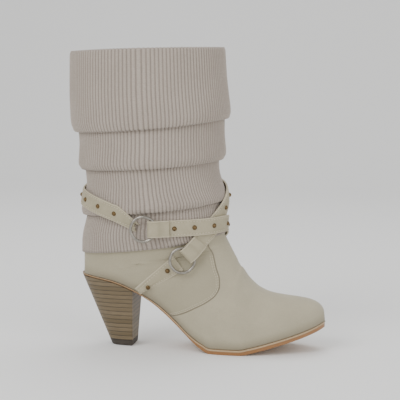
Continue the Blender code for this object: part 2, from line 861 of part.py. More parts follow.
def make_strap(name, lay, line, material, cuts=(0.0, 0.0, 0.0)):
    """A leather strap of even thickness along its line over its bed, its first end cut to suit."""
    rows = []
    for s, height in line:
        row = []
        for j, cut in enumerate(cuts):
            points, out = lay.at(s + cut * max(0.0, 1.0 - s / CUT_BLEND))
            row.append(points[j] + out * height)
        rows.append(row)
    rings = []
    for k, row in enumerate(rows):
        before, after = rows[max(k - 1, 0)], rows[min(k + 1, len(rows) - 1)]
        across = row[2] - row[0]
        inner, outer = [], []
        for j, point in enumerate(row):
            along = Vector()
            for a, b in ((before[j], point), (point, after[j])):
                if (b - a).length > 0:
                    along += (b - a).normalized()
            face = along.cross(across).normalized()
            inner.append(point - face * STRAP_THICKNESS / 2)
            outer.append(point + face * STRAP_THICKNESS / 2)
        rings.append(inner + outer[::-1])
    bm = bmesh.new()
    loft(bm, rings)
    return new_object(name, mesh_of(bm, name), material)


def ring_frame(lay, end, tree):
    """Centre, direction along the strap and direction across it of the ring held in a strap's
    loop, tilted as little as clears everything round it."""
    points, out = lay.at(end - RING_REACH + GAP)
    wire = points[1] + out * (STRAP_THICKNESS + RING_WIRE / 2 + 1.5 * GAP)
    across = (points[2] - points[0]).normalized()
    forward = across.cross(out).normalized()
    if forward.dot(lay.at(end)[0][1] - lay.at(end - 0.003)[0][1]) < 0:
        forward = -forward
    mean = (RING_OUTER - RING_WIRE) / 2
    best = None
    for step in range(-RING_TILT_STEPS, RING_TILT_STEPS + 1):
        tilt = math.radians(step)
        along = forward * math.cos(tilt) + out * math.sin(tilt)
        centre = wire + along * mean
        space = min(
            tree.find_nearest(centre + along * mean * math.cos(a) + across * mean * math.sin(a))[3]
            for a in (2 * math.pi * k / 48 for k in range(48))
        )
        room = min(space - RING_WIRE / 2, RING_CLEARANCE)
        if best is None or (room, -abs(step)) > best[0]:
            best = ((room, -abs(step)), (centre, along, across))
    return best[1]


def make_ring(name, frame, material):
    """A round metal ring of round wire."""
    centre, along, across = frame
    normal = along.cross(across)
    mean = (RING_OUTER - RING_WIRE) / 2
    rings = []
    for k in range(RING_SIDES):
        turn = 2 * math.pi * k / RING_SIDES
        spoke = along * math.cos(turn) + across * math.sin(turn)
        rings.append(
            [
                centre
                + spoke * (mean + RING_WIRE / 2 * math.cos(2 * math.pi * j / WIRE_SIDES))
                + normal * (RING_WIRE / 2 * math.sin(2 * math.pi * j / WIRE_SIDES))
                for j in range(WIRE_SIDES)
            ]
        )
    bm = bmesh.new()
    loft(bm, rings + [rings[0]], capped=False)
    return new_object(name, mesh_of(bm, name), material)


def make_stud(name, lay, s, material):
    """A dome stud on a strap's outer face."""
    points, out = lay.at(s)
    along = (lay.at(s + 0.002)[0][1] - lay.at(s - 0.002)[0][1]).normalized()
    across = out.cross(along).normalized()
    foot = points[1] + out * (STRAP_THICKNESS + STUD_GAP)
    levels = ((1.0, 0.0), (0.92, 0.45), (0.50, 1.0))
    bm = bmesh.new()
    rings = []
    for radius, height in levels:
        rings.append(
            [
                foot
                + out * height * STUD_HEIGHT
                + (along * math.cos(a) + across * math.sin(a)) * radius * STUD_DIAMETER / 2
                for a in (2 * math.pi * k / STUD_SIDES for k in range(STUD_SIDES))
            ]
        )
    loft(bm, rings)
    return new_object(name, mesh_of(bm, name), material)


COLLECTION = "heeled_slouch_boot"


def clear_scene():
    for obj in list(bpy.data.objects):
        bpy.data.objects.remove(obj)
    collection = bpy.data.collections.new(COLLECTION)
    bpy.context.scene.collection.children.link(collection)


def main():
    clear_scene()
    leather = finish("taupe_nubuck", (0.388, 0.355, 0.270), 0.75)
    knit = finish("taupe_rib_knit", (0.35, 0.30, 0.26), 0.9)
    strap_leather = finish("taupe_strap_leather", (0.36, 0.32, 0.24), 0.65)
    edge = finish("burnished_sole_edge", (0.30, 0.16, 0.08), 0.45)
    stack = finish("stacked_leather_heel", (0.10, 0.075, 0.04), 0.5)
    rubber = finish("dark_heel_rubber", (0.05, 0.045, 0.04), 0.7)
    lining = finish("insole_board", (0.42, 0.36, 0.28), 0.8)
    silver = finish("antique_silver", (0.45, 0.43, 0.40), 0.35, 1.0)
    brass = finish("antique_brass", (0.20, 0.15, 0.09), 0.4, 1.0)

    make_outsole(edge)
    make_insole(lining)
    make_heel(stack)
    make_top_lift(rubber)
    upper = make_upper(leather)
    shaft = make_shaft(knit)

    tree = surface_tree([upper, shaft])
    heel_lay, wrap_lay = Lay(tree, STRAP_PATHS["heel"]), Lay(tree, STRAP_PATHS["wrap"], LOOP_BACK)
    line = strap_line(heel_lay, 0.0, heel_lay.length, False)
    heel_cuts = sole_cut(heel_lay)
    strap_heel = make_strap("strap_heel", heel_lay, line, strap_leather, heel_cuts)
    wrap_end = wrap_lay.length - LOOP_TIP
    line = strap_line(wrap_lay, 0.0, wrap_end, True)
    wrap = make_strap("strap_wrap", wrap_lay, line, strap_leather)
    instep_lay = Lay(surface_tree([upper, shaft, wrap]), STRAP_PATHS["instep"], LOOP_BACK)
    instep_end = instep_lay.length - LOOP_TIP
    line = strap_line(instep_lay, 0.0, instep_end, True)
    instep_cuts = sole_cut(instep_lay)
    instep = make_strap("strap_instep", instep_lay, line, strap_leather, instep_cuts)
    tree = surface_tree([upper, shaft, strap_heel, wrap, instep])
    make_ring("ring_ankle", ring_frame(wrap_lay, wrap_end, tree), silver)
    make_ring("ring_instep", ring_frame(instep_lay, instep_end, tree), silver)

    number = 0
    over = surface_tree([instep])
    for lay, first, last in (
        (heel_lay, max(heel_cuts) + STUD_MARGIN, heel_lay.length - 0.5 * RING_OUTER),
        (wrap_lay, RING_OUTER, wrap_end - LOOP_BACK - STUD_MARGIN),
        (instep_lay, max(instep_cuts) + STUD_MARGIN, instep_end - LOOP_BACK - STUD_MARGIN),
    ):
        count = max(1, round((last - first) / STUD_SPACING))
        for k in range(count + 1):
            s = first + (last - first) * k / count
            points, out = lay.at(s)
            top = points[1] + out * (STRAP_THICKNESS + STUD_HEIGHT)
            if lay is wrap_lay and over.find_nearest(top)[3] < STUD_DIAMETER:
                continue
            number += 1
            make_stud(f"stud_{number:02d}", lay, s, brass)


main()
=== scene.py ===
"""Looks of a heeled slouch boot, right foot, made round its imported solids. Metres, +X to the toe,
+Y to the inner side of the foot, +Z up."""

import math

import bmesh
import bpy
import numpy as np
from mathutils import Matrix, Vector
from mathutils.bvhtree import BVHTree


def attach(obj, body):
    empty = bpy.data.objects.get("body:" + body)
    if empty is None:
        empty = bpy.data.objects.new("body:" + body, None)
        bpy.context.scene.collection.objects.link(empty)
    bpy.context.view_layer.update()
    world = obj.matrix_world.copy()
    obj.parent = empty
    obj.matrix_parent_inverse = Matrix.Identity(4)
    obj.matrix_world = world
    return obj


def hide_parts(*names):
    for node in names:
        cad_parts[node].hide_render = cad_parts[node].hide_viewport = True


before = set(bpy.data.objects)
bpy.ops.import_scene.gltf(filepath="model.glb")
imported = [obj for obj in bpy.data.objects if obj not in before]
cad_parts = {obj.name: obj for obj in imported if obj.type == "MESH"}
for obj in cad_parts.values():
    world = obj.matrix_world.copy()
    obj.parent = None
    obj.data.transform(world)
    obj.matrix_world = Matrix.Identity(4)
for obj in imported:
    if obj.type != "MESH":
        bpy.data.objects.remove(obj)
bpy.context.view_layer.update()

# Camera: a short telephoto lens from the outer side of the foot, a little in front of the ankle and
# a little above knee-high table level, at the photograph's place and angle.
CAMERA_PLACE = Vector((0.2910, -1.2828, 0.2910))
CAMERA_AIM = Vector((0.0805, 0.0, 0.1524))
CAMERA_ROLL = math.radians(0.148)
camera = bpy.data.objects.new("camera", bpy.data.cameras.new("camera"))
camera.data.lens = 114.4
camera.data.sensor_width = 36.0
camera.data.clip_start, camera.data.clip_end = 0.05, 30.0
gaze = (CAMERA_AIM - CAMERA_PLACE).to_track_quat("-Z", "Y").to_matrix()
camera.matrix_world = Matrix.Translation(CAMERA_PLACE) @ (
    gaze @ Matrix.Rotation(CAMERA_ROLL, 3, "Z")
).to_4x4()
bpy.context.scene.collection.objects.link(camera)
bpy.context.scene.camera = camera


# Studio: a pale seamless paper floor that sweeps up behind the boot, lit by three large soft boxes
# and an even white surround, as in a catalogue photograph.
def linear(code):
    """A colour written as sRGB hex, as the linear values that a shader takes."""
    parts = [int(code[k : k + 2], 16) / 255 for k in (0, 2, 4)]
    return (*(p / 12.92 if p <= 0.04045 else ((p + 0.055) / 1.055) ** 2.4 for p in parts), 1.0)


def node(tree, kind, inputs=(), **settings):
    """Adds one node with its settings; an input takes a value or another node's output socket."""
    made = tree.nodes.new(kind)
    for name, value in settings.items():
        setattr(made, name, value)
    for name, value in dict(inputs).items():
        if isinstance(value, bpy.types.NodeSocket):
            tree.links.new(value, made.inputs[name])
        else:
            made.inputs[name].default_value = value
    return made


def material_named(name):
    """An empty material, its node tree and its surface shader."""
    material = bpy.data.materials.new(name)
    material.use_nodes = True
    return material, material.node_tree, material.node_tree.nodes["Principled BSDF"]


def skin(name, points, ring=True, tube=False, capped=False):
    """A smooth mesh over rows of points; rows close on themselves (ring), and the last row joins
    the first (tube) or both end rows are filled (capped)."""
    rows, count = points.shape[:2]
    index = np.arange(rows * count).reshape(rows, count)
    if ring:
        index = np.hstack([index, index[:, :1]])
    if tube:
        index = np.vstack([index, index[:1]])
    corners = (index[:-1, :-1], index[:-1, 1:], index[1:, 1:], index[1:, :-1])
    faces = np.stack(corners, -1).reshape(-1, 4).tolist()
    if capped:
        faces += [list(range(count))[::-1], list(range((rows - 1) * count, rows * count))]
    mesh = bpy.data.meshes.new(name)
    mesh.from_pydata(points.reshape(-1, 3).tolist(), [], faces)
    obj = bpy.data.objects.new(name, mesh)
    bpy.context.scene.collection.objects.link(obj)
    mesh.shade_smooth()
    return obj


SWEEP_RADIUS = 0.9
sweep = [(-3.0, 0.0)] + [
    (1.6 + SWEEP_RADIUS * math.sin(a), SWEEP_RADIUS * (1 - math.cos(a)))
    for a in np.linspace(0, math.pi / 2, 13)
]
sweep.append((sweep[-1][0], 3.2))
paper = np.array([[(x, y, z - 0.0002) for x in (-4.0, 4.0)] for y, z in sweep])
floor = skin("studio_floor", paper, ring=False)
floor_paper, tree, shader = material_named("seamless_white_paper")
shader.inputs["Base Color"].default_value = linear("F4F4F3")
shader.inputs["Roughness"].default_value = 0.9
floor.data.materials.append(floor_paper)

world = bpy.data.worlds.new("white_surround")
bpy.context.scene.world = world
world.use_nodes = True
surround = world.node_tree.nodes["Background"]
surround.inputs["Color"].default_value = linear("FAFAFA")
surround.inputs["Strength"].default_value = 0.75
SOFT_BOXES = (
    ("key_soft_box", (-0.9, -1.5, 1.5), 1.3, 26.0),
    ("fill_soft_box", (1.5, -1.3, 0.9), 1.5, 12.0),
    ("top_soft_box", (0.1, 0.7, 1.9), 1.2, 12.0),
)
for name, place, size, watts in SOFT_BOXES:
    lamp = bpy.data.objects.new(name, bpy.data.lights.new(name, "AREA"))
    lamp.data.size, lamp.data.energy = size, watts
    aim = Vector((0.08, 0.0, 0.14)) - Vector(place)
    lamp.matrix_world = Matrix.Translation(place) @ aim.to_track_quat("-Z", "Y").to_matrix().to_4x4()
    bpy.context.scene.collection.objects.link(lamp)


# Outsole: thin moulded sole with a leather look, cut to the last's outline, with a welt band along
# its top edge painted pale as a highlight, cemented under the lasted upper; its edge is inked and
# waxed tan.
BOOT_LENGTH, BALL_WIDTH, SEAT_WIDTH = 0.253, 0.083, 0.053
HEEL_HEIGHT, TOE_SPRING, TOE_SWING, BACK_X = 0.074, 0.0245, 0.003, -0.043
GAP = 0.0003
WELT_BAND, WELT_STEP, EDGE_TUCK = 0.0018, 0.0004, 0.0009
SEAT_ALONG, BALL_ALONG = 0.165, 0.640
SOLE_PROFILE = (
    (0.000, 1.000, 0.00),
    (0.130, 0.932, 0.00),
    (0.230, 0.804, 0.00),
    (0.295, 0.676, 0.00),
    (0.350, 0.530, 0.00),
    (0.405, 0.363, 0.00),
    (0.440, 0.252, 0.00),
    (0.475, 0.145, 0.00),
    (0.510, 0.058, 0.00),
    (0.550, 0.000, 0.00),
    (0.670, 0.000, 0.00),
    (0.720, 0.000, 0.10),
    (0.810, 0.000, 0.35),
    (0.900, 0.000, 0.62),
    (0.965, 0.000, 0.85),
    (1.000, 0.000, 1.00),
)
SOLE_EDGE = (
    (0.00, 0.0016),
    (0.26, 0.0016),
    (0.37, 0.0026),
    (0.44, 0.0026),
    (0.54, 0.0054),
    (1.00, 0.0054),
)
SOLE_WAIST = (
    (0.165, 0.00, 0.00),
    (0.250, -0.02, -0.10),
    (0.330, -0.10, -0.38),
    (0.400, 0.00, -0.48),
    (0.460, 0.26, -0.26),
    (0.520, 0.62, 0.18),
    (0.580, 0.90, 0.66),
    (0.640, 1.00, 1.00),
)


def read(rows, column, at):
    """A column of a table of given points, read in between without overshoot."""
    table = np.array(rows, float)
    xs, ys = table[:, 0], table[:, column]
    at = np.clip(np.asarray(at, float), xs[0], xs[-1])
    step = np.diff(xs)
    rise = np.diff(ys) / step
    product = rise[:-1] * rise[1:]
    total = np.where(product > 0, rise[:-1] + rise[1:], 1.0)
    slopes = np.concatenate([rise[:1], np.where(product > 0, 2 * product / total, 0.0), rise[-1:]])
    i = np.clip(np.searchsorted(xs, at, side="right") - 1, 0, len(step) - 1)
    t = (at - xs[i]) / step[i]
    return (
        ys[i] * (1 + 2 * t) * (1 - t) ** 2
        + step[i] * slopes[i] * t * (1 - t) ** 2
        + ys[i + 1] * t * t * (3 - 2 * t)
        + step[i] * slopes[i + 1] * t * t * (t - 1)
    )


def underside(x):
    along = (np.asarray(x, float) - BACK_X) / BOOT_LENGTH
    return read(SOLE_PROFILE, 1, along) * HEEL_HEIGHT + read(SOLE_PROFILE, 2, along) * TOE_SPRING


def sole_top(x):
    along = (np.asarray(x, float) - BACK_X) / BOOT_LENGTH
    slope = (underside(x + 0.002) - underside(x - 0.002)) / 0.004
    return underside(x) + read(SOLE_EDGE, 1, along) * np.hypot(1.0, slope)


def outline(x, side):
    """Y of the sole's outline at x, on the outer (-1) or the inner (1) side."""
    x = np.asarray(x, float)
    along = (x - BACK_X) / BOOT_LENGTH
    power = 1.85 if side < 0 else 2.15
    toe = np.clip((along - BALL_ALONG) / (1 - BALL_ALONG), 0.0, 1.0)
    front = TOE_SWING + side * (BALL_WIDTH / 2 - side * TOE_SWING) * (1 - toe**power) ** (1 / power)
    heel = np.clip((SEAT_ALONG - along) / SEAT_ALONG, 0.0, 1.0)
    back = side * SEAT_WIDTH / 2 * (1 - heel**2.3) ** (1 / 2.3)
    share = read(SOLE_WAIST, 1 if side < 0 else 2, along)
    waist = side * (SEAT_WIDTH + share * (BALL_WIDTH - SEAT_WIDTH)) / 2
    return np.where(along > BALL_ALONG, front, np.where(along < SEAT_ALONG, back, waist))


def settle(obj):
    """Merges doubled points and turns every face outward."""
    bm = bmesh.new()
    bm.from_mesh(obj.data)
    bmesh.ops.remove_doubles(bm, verts=bm.verts, dist=2e-6)
    bmesh.ops.recalc_face_normals(bm, faces=bm.faces)
    bm.to_mesh(obj.data)
    bm.free()


ends = 0.5 - 0.5 * np.cos(np.linspace(0, math.pi, 150))
stations = BACK_X + BOOT_LENGTH * (0.0006 + 0.9988 * ends)
top, bottom = sole_top(stations), underside(stations)
band = np.minimum(WELT_BAND, 0.4 * (top - bottom))
outer, inner = outline(stations, -1), outline(stations, 1)
narrow = np.minimum(1.0, (inner - outer) / (8 * EDGE_TUCK))
step, tuck = WELT_STEP * narrow, (WELT_STEP + EDGE_TUCK) * narrow
levels = ((0 * step, top), (0 * step, top - band), (step, top - band), (tuck, bottom))
ring = [np.stack([stations, outer + inset, z], -1) for inset, z in levels]
ring += [np.stack([stations, inner - inset, z], -1) for inset, z in reversed(levels)]
outsole = skin("outsole_leather", np.stack(ring, 1), capped=True)
column = np.arange(len(outsole.data.polygons)) % 8
kinds = np.select([np.isin(column, (0, 6)), column == 3], [1, 2], 0)
outsole.data.polygons.foreach_set("material_index", kinds.astype(np.int32))
settle(outsole)
outsole.data.set_sharp_from_angle(angle=math.radians(35))
rounding = outsole.modifiers.new("edge_rounding", "BEVEL")
rounding.width, rounding.segments, rounding.limit_method = 0.0003, 2, "ANGLE"
rounding.angle_limit = math.radians(40)

# Inked and waxed sole edge: warm tan, a low wax shine, with streaks from the edge trimmer.
sole_edge, tree, shader = material_named("burnished_sole_edge")
place = node(tree, "ShaderNodeTexCoord")
streak_map = node(
    tree, "ShaderNodeMapping", {"Vector": place.outputs["Object"], "Scale": (60.0, 60.0, 1400.0)}
)
streaks = node(
    tree, "ShaderNodeTexNoise", {"Vector": streak_map.outputs[0], "Scale": 1.0, "Detail": 3.0}
)
blotches = node(
    tree, "ShaderNodeTexNoise", {"Vector": place.outputs["Object"], "Scale": 90.0, "Detail": 2.0}
)
tan = node(tree, "ShaderNodeMix", {"Factor": streaks.outputs["Fac"]}, data_type="RGBA")
tan.inputs["A"].default_value, tan.inputs["B"].default_value = linear("7E5531"), linear("A87B4E")
worn = node(
    tree,
    "ShaderNodeMix",
    {"Factor": blotches.outputs["Fac"], "A": tan.outputs["Result"]},
    data_type="RGBA",
)
worn.inputs["B"].default_value = linear("93683F")
tree.links.new(worn.outputs["Result"], shader.inputs["Base Color"])
shader.inputs["Roughness"].default_value = 0.42
relief = node(
    tree,
    "ShaderNodeBump",
    {"Height": streaks.outputs["Fac"], "Strength": 0.25, "Distance": 0.0002},
)
tree.links.new(relief.outputs["Normal"], shader.inputs["Normal"])

# Welt band: a strip whose pale tone is a painted highlight along the sole's top edge, lighter than the
# edge under it.
welt_highlight, tree, shader = material_named("welt_band_painted_highlight")
place = node(tree, "ShaderNodeTexCoord")
grain = node(
    tree, "ShaderNodeTexNoise", {"Vector": place.outputs["Object"], "Scale": 500.0, "Detail": 4.0}
)
# painted highlight: the pale band stands for light falling on the sole's rounded top edge
painted_highlight_band_tone = node(tree, "ShaderNodeMix", {"Factor": grain.outputs["Fac"]}, data_type="RGBA")
painted_highlight_band_tone.inputs["A"].default_value = linear("A08766")
painted_highlight_band_tone.inputs["B"].default_value = linear("BCA582")
tree.links.new(painted_highlight_band_tone.outputs["Result"], shader.inputs["Base Color"])
shader.inputs["Roughness"].default_value = 0.55

# Sole underside: smooth tan leather board, scuffed along the foot where it is walked on.
tread, tree, shader = material_named("scuffed_sole_leather")
place = node(tree, "ShaderNodeTexCoord")
scuff_map = node(
    tree, "ShaderNodeMapping", {"Vector": place.outputs["Object"], "Scale": (90.0, 700.0, 90.0)}
)
scuffs = node(
    tree, "ShaderNodeTexNoise", {"Vector": scuff_map.outputs[0], "Scale": 1.0, "Detail": 5.0}
)
tread_tone = node(tree, "ShaderNodeMix", {"Factor": scuffs.outputs["Fac"]}, data_type="RGBA")
tread_tone.inputs["A"].default_value = linear("8F6C48")
tread_tone.inputs["B"].default_value = linear("B8946A")
tree.links.new(tread_tone.outputs["Result"], shader.inputs["Base Color"])
shader.inputs["Roughness"].default_value = 0.6
relief = node(
    tree, "ShaderNodeBump", {"Height": scuffs.outputs["Fac"], "Strength": 0.3, "Distance": 0.0002}
)
tree.links.new(relief.outputs["Normal"], shader.inputs["Normal"])
for finish in (sole_edge, welt_highlight, tread):
    outsole.data.materials.append(finish)
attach(outsole, "root")
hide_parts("outsole")

# Insole: a thin board with a pale pigskin sock glued on, laid on the sole inside the upper. The
# solid's own shape is right, so it only gets its finish.
sock, tree, shader = material_named("pigskin_sock")
place = node(tree, "ShaderNodeTexCoord")
pores = node(tree, "ShaderNodeTexVoronoi", {"Vector": place.outputs["Object"], "Scale": 900.0})
sock_tone = node(tree, "ShaderNodeMix", {"Factor": pores.outputs["Distance"]}, data_type="RGBA")
sock_tone.inputs["A"].default_value = linear("9C8C76")
sock_tone.inputs["B"].default_value = linear("C2B197")
tree.links.new(sock_tone.outputs["Result"], shader.inputs["Base Color"])
shader.inputs["Roughness"].default_value = 0.7
relief = node(
    tree, "ShaderNodeBump", {"Height": pores.outputs["Distance"], "Strength": 0.3, "Distance": 0.0002}
)
tree.links.new(relief.outputs["Normal"], shader.inputs["Normal"])
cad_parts["insole"].data.materials.clear()
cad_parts["insole"].data.materials.append(sock)

# Heel: thin lifts of leather board stacked and glued, sanded to a tapered block with a flat breast,
# stained brown and waxed; the joints between the lifts show as fine dark lines.
HEEL_BASE_LENGTH, HEEL_BASE_WIDTH, HEEL_ROUNDNESS = 0.024, 0.026, 2.5
HEEL_SEAT_LENGTH, HEEL_INSET, TOP_LIFT = 0.057, 0.0006, 0.0060
LIFT_PITCH, JOINT_DEPTH, JOINT_WIDTH = 0.0044, 0.00016, 0.0003


def heel_side(x, side, z, inset):
    """A point on the heel's side, on the straight line from the seat's outline to the base."""
    share = (BACK_X + HEEL_INSET + HEEL_SEAT_LENGTH - x) / HEEL_SEAT_LENGTH
    half = HEEL_BASE_WIDTH / 2 * (1 - share**HEEL_ROUNDNESS) ** (1 / HEEL_ROUNDNESS)
    base = Vector((HEEL_BASE_LENGTH * (0.5 - share), side * half, 0.0))
    seat_z = float(underside(x)) - GAP
    seat = Vector((x, float(outline(x, side)) - side * HEEL_INSET, seat_z))
    point = base.lerp(seat, min(z, seat_z) / seat_z)
    middle = Vector((point.x * 0.35, 0.0, point.z))
    return point + (middle - point).normalized() * inset


levels = [(TOP_LIFT + GAP, 0.0)]
joint = TOP_LIFT + GAP + LIFT_PITCH
while joint < HEEL_HEIGHT:
    levels += [(joint - JOINT_WIDTH, 0.0), (joint, JOINT_DEPTH), (joint + JOINT_WIDTH, 0.0)]
    joint += LIFT_PITCH
levels.append((HEEL_HEIGHT, 0.0))
shares = [math.sin(0.5 * math.pi * k / 40) for k in range(40)] + [0.9990]
places = [BACK_X + HEEL_INSET + HEEL_SEAT_LENGTH * (1 - share) for share in shares]
rings = []
for z, inset in levels:
    sides = [[heel_side(x, side, z, inset) for x in places] for side in (-1, 1)]
    rings.append([list(point) for point in sides[0] + sides[1][::-1]])
heel = skin("heel_stack", np.array(rings))
count = len(places)
bm = bmesh.new()
bm.from_mesh(heel.data)
bm.verts.ensure_lookup_table()
for start in (0, (len(levels) - 1) * 2 * count):
    row = [bm.verts[start + k] for k in range(2 * count)]
    for k in range(count - 1):
        bm.faces.new((row[k], row[k + 1], row[-2 - k], row[-1 - k]))
bm.to_mesh(heel.data)
bm.free()
settle(heel)
heel.data.shade_smooth()
heel.data.set_sharp_from_angle(angle=math.radians(35))

# Stacked leather: every lift has its own brown, streaked along its cut fibres, dark glue joints.
stack, tree, shader = material_named("stacked_leather")
place = node(tree, "ShaderNodeTexCoord")
xyz = node(tree, "ShaderNodeSeparateXYZ", {"Vector": place.outputs["Object"]})
above = node(tree, "ShaderNodeMath", {0: xyz.outputs["Z"], 1: TOP_LIFT + GAP}, operation="SUBTRACT")
count_up = node(tree, "ShaderNodeMath", {0: above.outputs[0], 1: LIFT_PITCH}, operation="DIVIDE")
which = node(tree, "ShaderNodeMath", {0: count_up.outputs[0]}, operation="FLOOR")
tone = node(tree, "ShaderNodeTexWhiteNoise", {"W": which.outputs[0]}, noise_dimensions="1D")
lift_tone = node(tree, "ShaderNodeMix", {"Factor": tone.outputs["Value"]}, data_type="RGBA")
lift_tone.inputs["A"].default_value = linear("6A5C41")
lift_tone.inputs["B"].default_value = linear("85755A")
fibre_map = node(
    tree, "ShaderNodeMapping", {"Vector": place.outputs["Object"], "Scale": (120.0, 120.0, 2200.0)}
)
fibres = node(
    tree, "ShaderNodeTexNoise", {"Vector": fibre_map.outputs[0], "Scale": 1.0, "Detail": 4.0}
)
fibre_tone = node(
    tree,
    "ShaderNodeMix",
    {"Factor": fibres.outputs["Fac"], "A": lift_tone.outputs["Result"]},
    data_type="RGBA",
)
fibre_tone.inputs["B"].default_value = linear("54452F")
part_of = node(tree, "ShaderNodeMath", {0: count_up.outputs[0]}, operation="FRACT")
off_middle = node(tree, "ShaderNodeMath", {0: part_of.outputs[0], 1: 0.5}, operation="SUBTRACT")
to_joint = node(tree, "ShaderNodeMath", {0: off_middle.outputs[0]}, operation="ABSOLUTE")
joint_line = node(
    tree,
    "ShaderNodeMapRange",
    {"Value": to_joint.outputs[0], "From Min": 0.40, "From Max": 0.47},
    interpolation_type="SMOOTHSTEP",
)
stacked_tone = node(
    tree,
    "ShaderNodeMix",
    {"Factor": joint_line.outputs[0], "A": fibre_tone.outputs["Result"]},
    data_type="RGBA",
)
stacked_tone.inputs["B"].default_value = linear("2E2417")
tree.links.new(stacked_tone.outputs["Result"], shader.inputs["Base Color"])
shader.inputs["Roughness"].default_value = 0.5
relief = node(
    tree, "ShaderNodeBump", {"Height": fibres.outputs["Fac"], "Strength": 0.25, "Distance": 0.0002}
)
tree.links.new(relief.outputs["Normal"], shader.inputs["Normal"])
heel.data.materials.append(stack)
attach(heel, "root")
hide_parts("heel")

# Top lift: a dark rubber tip nailed under the heel, trimmed flush with it. The solid's own shape is
# right, so it only gets its finish.
rubber, tree, shader = material_named("dark_lift_rubber")
place = node(tree, "ShaderNodeTexCoord")
dust = node(
    tree, "ShaderNodeTexNoise", {"Vector": place.outputs["Object"], "Scale": 260.0, "Detail": 4.0}
)
rubber_tone = node(tree, "ShaderNodeMix", {"Factor": dust.outputs["Fac"]}, data_type="RGBA")
rubber_tone.inputs["A"].default_value = linear("2B2621")
rubber_tone.inputs["B"].default_value = linear("4A4137")
tree.links.new(rubber_tone.outputs["Result"], shader.inputs["Base Color"])
shader.inputs["Roughness"].default_value = 0.62
relief = node(
    tree, "ShaderNodeBump", {"Height": dust.outputs["Fac"], "Strength": 0.3, "Distance": 0.0002}
)
tree.links.new(relief.outputs["Normal"], shader.inputs["Normal"])
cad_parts["top_lift"].data.materials.clear()
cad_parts["top_lift"].data.materials.append(rubber)

# Upper: vamp and quarters of nubuck, sewn together and pulled over the last, one wall thick, its
# lower edge glued under the foot; the leather has soft creases in front of the ankle.
INSTEP_RISE, FEATHER_INSET, UPPER_WALL = 0.0635, 0.0010, 0.0018
UPPER_SECTIONS = (
    (0, 0.9992, 0.9992, 0.045, 0.002, 0.002, 0.40, 0.62, 0.46),
    (1, 0.9940, 0.9953, 0.174, 0.008, 0.008, 0.42, 0.62, 0.46),
    (2, 0.9820, 0.9842, 0.272, 0.012, 0.012, 0.42, 0.62, 0.46),
    (3, 0.9605, 0.9645, 0.368, 0.016, 0.016, 0.41, 0.62, 0.46),
    (4, 0.9250, 0.9330, 0.463, 0.020, 0.020, 0.40, 0.62, 0.46),
    (5, 0.8735, 0.8855, 0.559, 0.024, 0.024, 0.38, 0.61, 0.46),
    (6, 0.8060, 0.8260, 0.664, 0.028, 0.028, 0.36, 0.59, 0.45),
    (7, 0.7390, 0.7710, 0.786, 0.029, 0.030, 0.35, 0.56, 0.44),
    (8, 0.6760, 0.7275, 0.933, 0.030, 0.032, 0.34, 0.53, 0.43),
    (9, 0.6165, 0.6920, 1.072, 0.030, 0.036, 0.34, 0.51, 0.43),
    (10, 0.5495, 0.6600, 1.240, 0.036, 0.058, 0.35, 0.50, 0.43),
    (11, 0.4785, 0.6425, 1.219, 0.070, 0.122, 0.37, 0.50, 0.44),
    (12, 0.4030, 0.6315, 1.044, 0.120, 0.176, 0.40, 0.52, 0.46),
    (13, 0.3240, 0.6245, 0.834, 0.136, 0.162, 0.43, 0.55, 0.49),
    (14, 0.2410, 0.6200, 0.672, 0.120, 0.118, 0.46, 0.59, 0.52),
    (15, 0.1580, 0.6165, 0.558, 0.111, 0.108, 0.48, 0.62, 0.55),
    (16, 0.0870, 0.6140, 0.514, 0.137, 0.135, 0.49, 0.65, 0.57),
    (17, 0.0395, 0.6125, 0.500, 0.200, 0.198, 0.50, 0.67, 0.58),
    (18, 0.0145, 0.6115, 0.496, 0.272, 0.270, 0.50, 0.68, 0.59),
)
STEPS_UP, STEPS_DOWN = 26, 18
SHAFT_HEIGHT, SHAFT_DEPTH, SHAFT_WIDTH, SHAFT_AXIS_X = 0.232, 0.160, 0.088, 0.031
KNIT_WALL, LAYER_GAP = 0.0018, 0.0006
SHAFT_FORM = (
    (0.080, 0.4645, 0.560, 0.835),
    (0.150, 0.4615, 0.510, 0.865),
    (0.200, 0.4530, 0.480, 0.890),
    (0.263, 0.4375, 0.478, 0.910),
    (0.328, 0.4280, 0.470, 0.920),
    (0.392, 0.4250, 0.440, 0.935),
    (0.478, 0.4440, 0.430, 0.955),
    (0.586, 0.4720, 0.450, 0.975),
    (0.716, 0.5060, 0.470, 1.000),
    (0.845, 0.5300, 0.470, 1.010),
    (1.000, 0.5350, 0.465, 1.000),
)
HEM = (0.101, 0.134, 0.2005, 0.140)
SEAM = (
    (0.0340, 0.0480),
    (0.0360, 0.0561),
    (0.0371, 0.0606),
    (0.0410, 0.0712),
    (0.0463, 0.0818),
    (0.0525, 0.0932),
    (0.0596, 0.1020),
    (0.0673, 0.1056),
    (0.0751, 0.1052),
    (0.0866, 0.1015),
    (0.0995, 0.0981),
    (0.1085, 0.0930),
)


def leg_height(levels, turn):
    """Height given at the back, outer side, front and inner side, at any turn round the leg."""
    back, outer, front, inner = levels
    share = (
        (front + inner + back + outer) / 4
        + (front - back) / 2 * np.cos(turn)
        + (inner - outer) / 2 * np.sin(turn)
        + (front - inner + back - outer) / 4 * np.cos(2 * turn)
    )
    return HEEL_HEIGHT + share * SHAFT_HEIGHT


def leg_point(turn, z, outward):
    """Points on the shaft's form at turns round the leg and heights, moved outward."""
    rise = (z - HEEL_HEIGHT) / SHAFT_HEIGHT
    back = SHAFT_AXIS_X - read(SHAFT_FORM, 1, rise) * SHAFT_DEPTH
    front = SHAFT_AXIS_X + read(SHAFT_FORM, 2, rise) * SHAFT_DEPTH
    c, s = np.cos(turn), np.sin(turn)
    half_depth = (front - back) / 2 + outward
    half_width = read(SHAFT_FORM, 3, rise) * SHAFT_WIDTH / 2 + outward
    x = (front + back) / 2 + half_depth * np.sign(c) * np.abs(c) ** (2 / 2.25)
    return np.stack([x, half_width * np.sign(s) * np.abs(s) ** (2 / 2.25), z + 0 * x], -1)


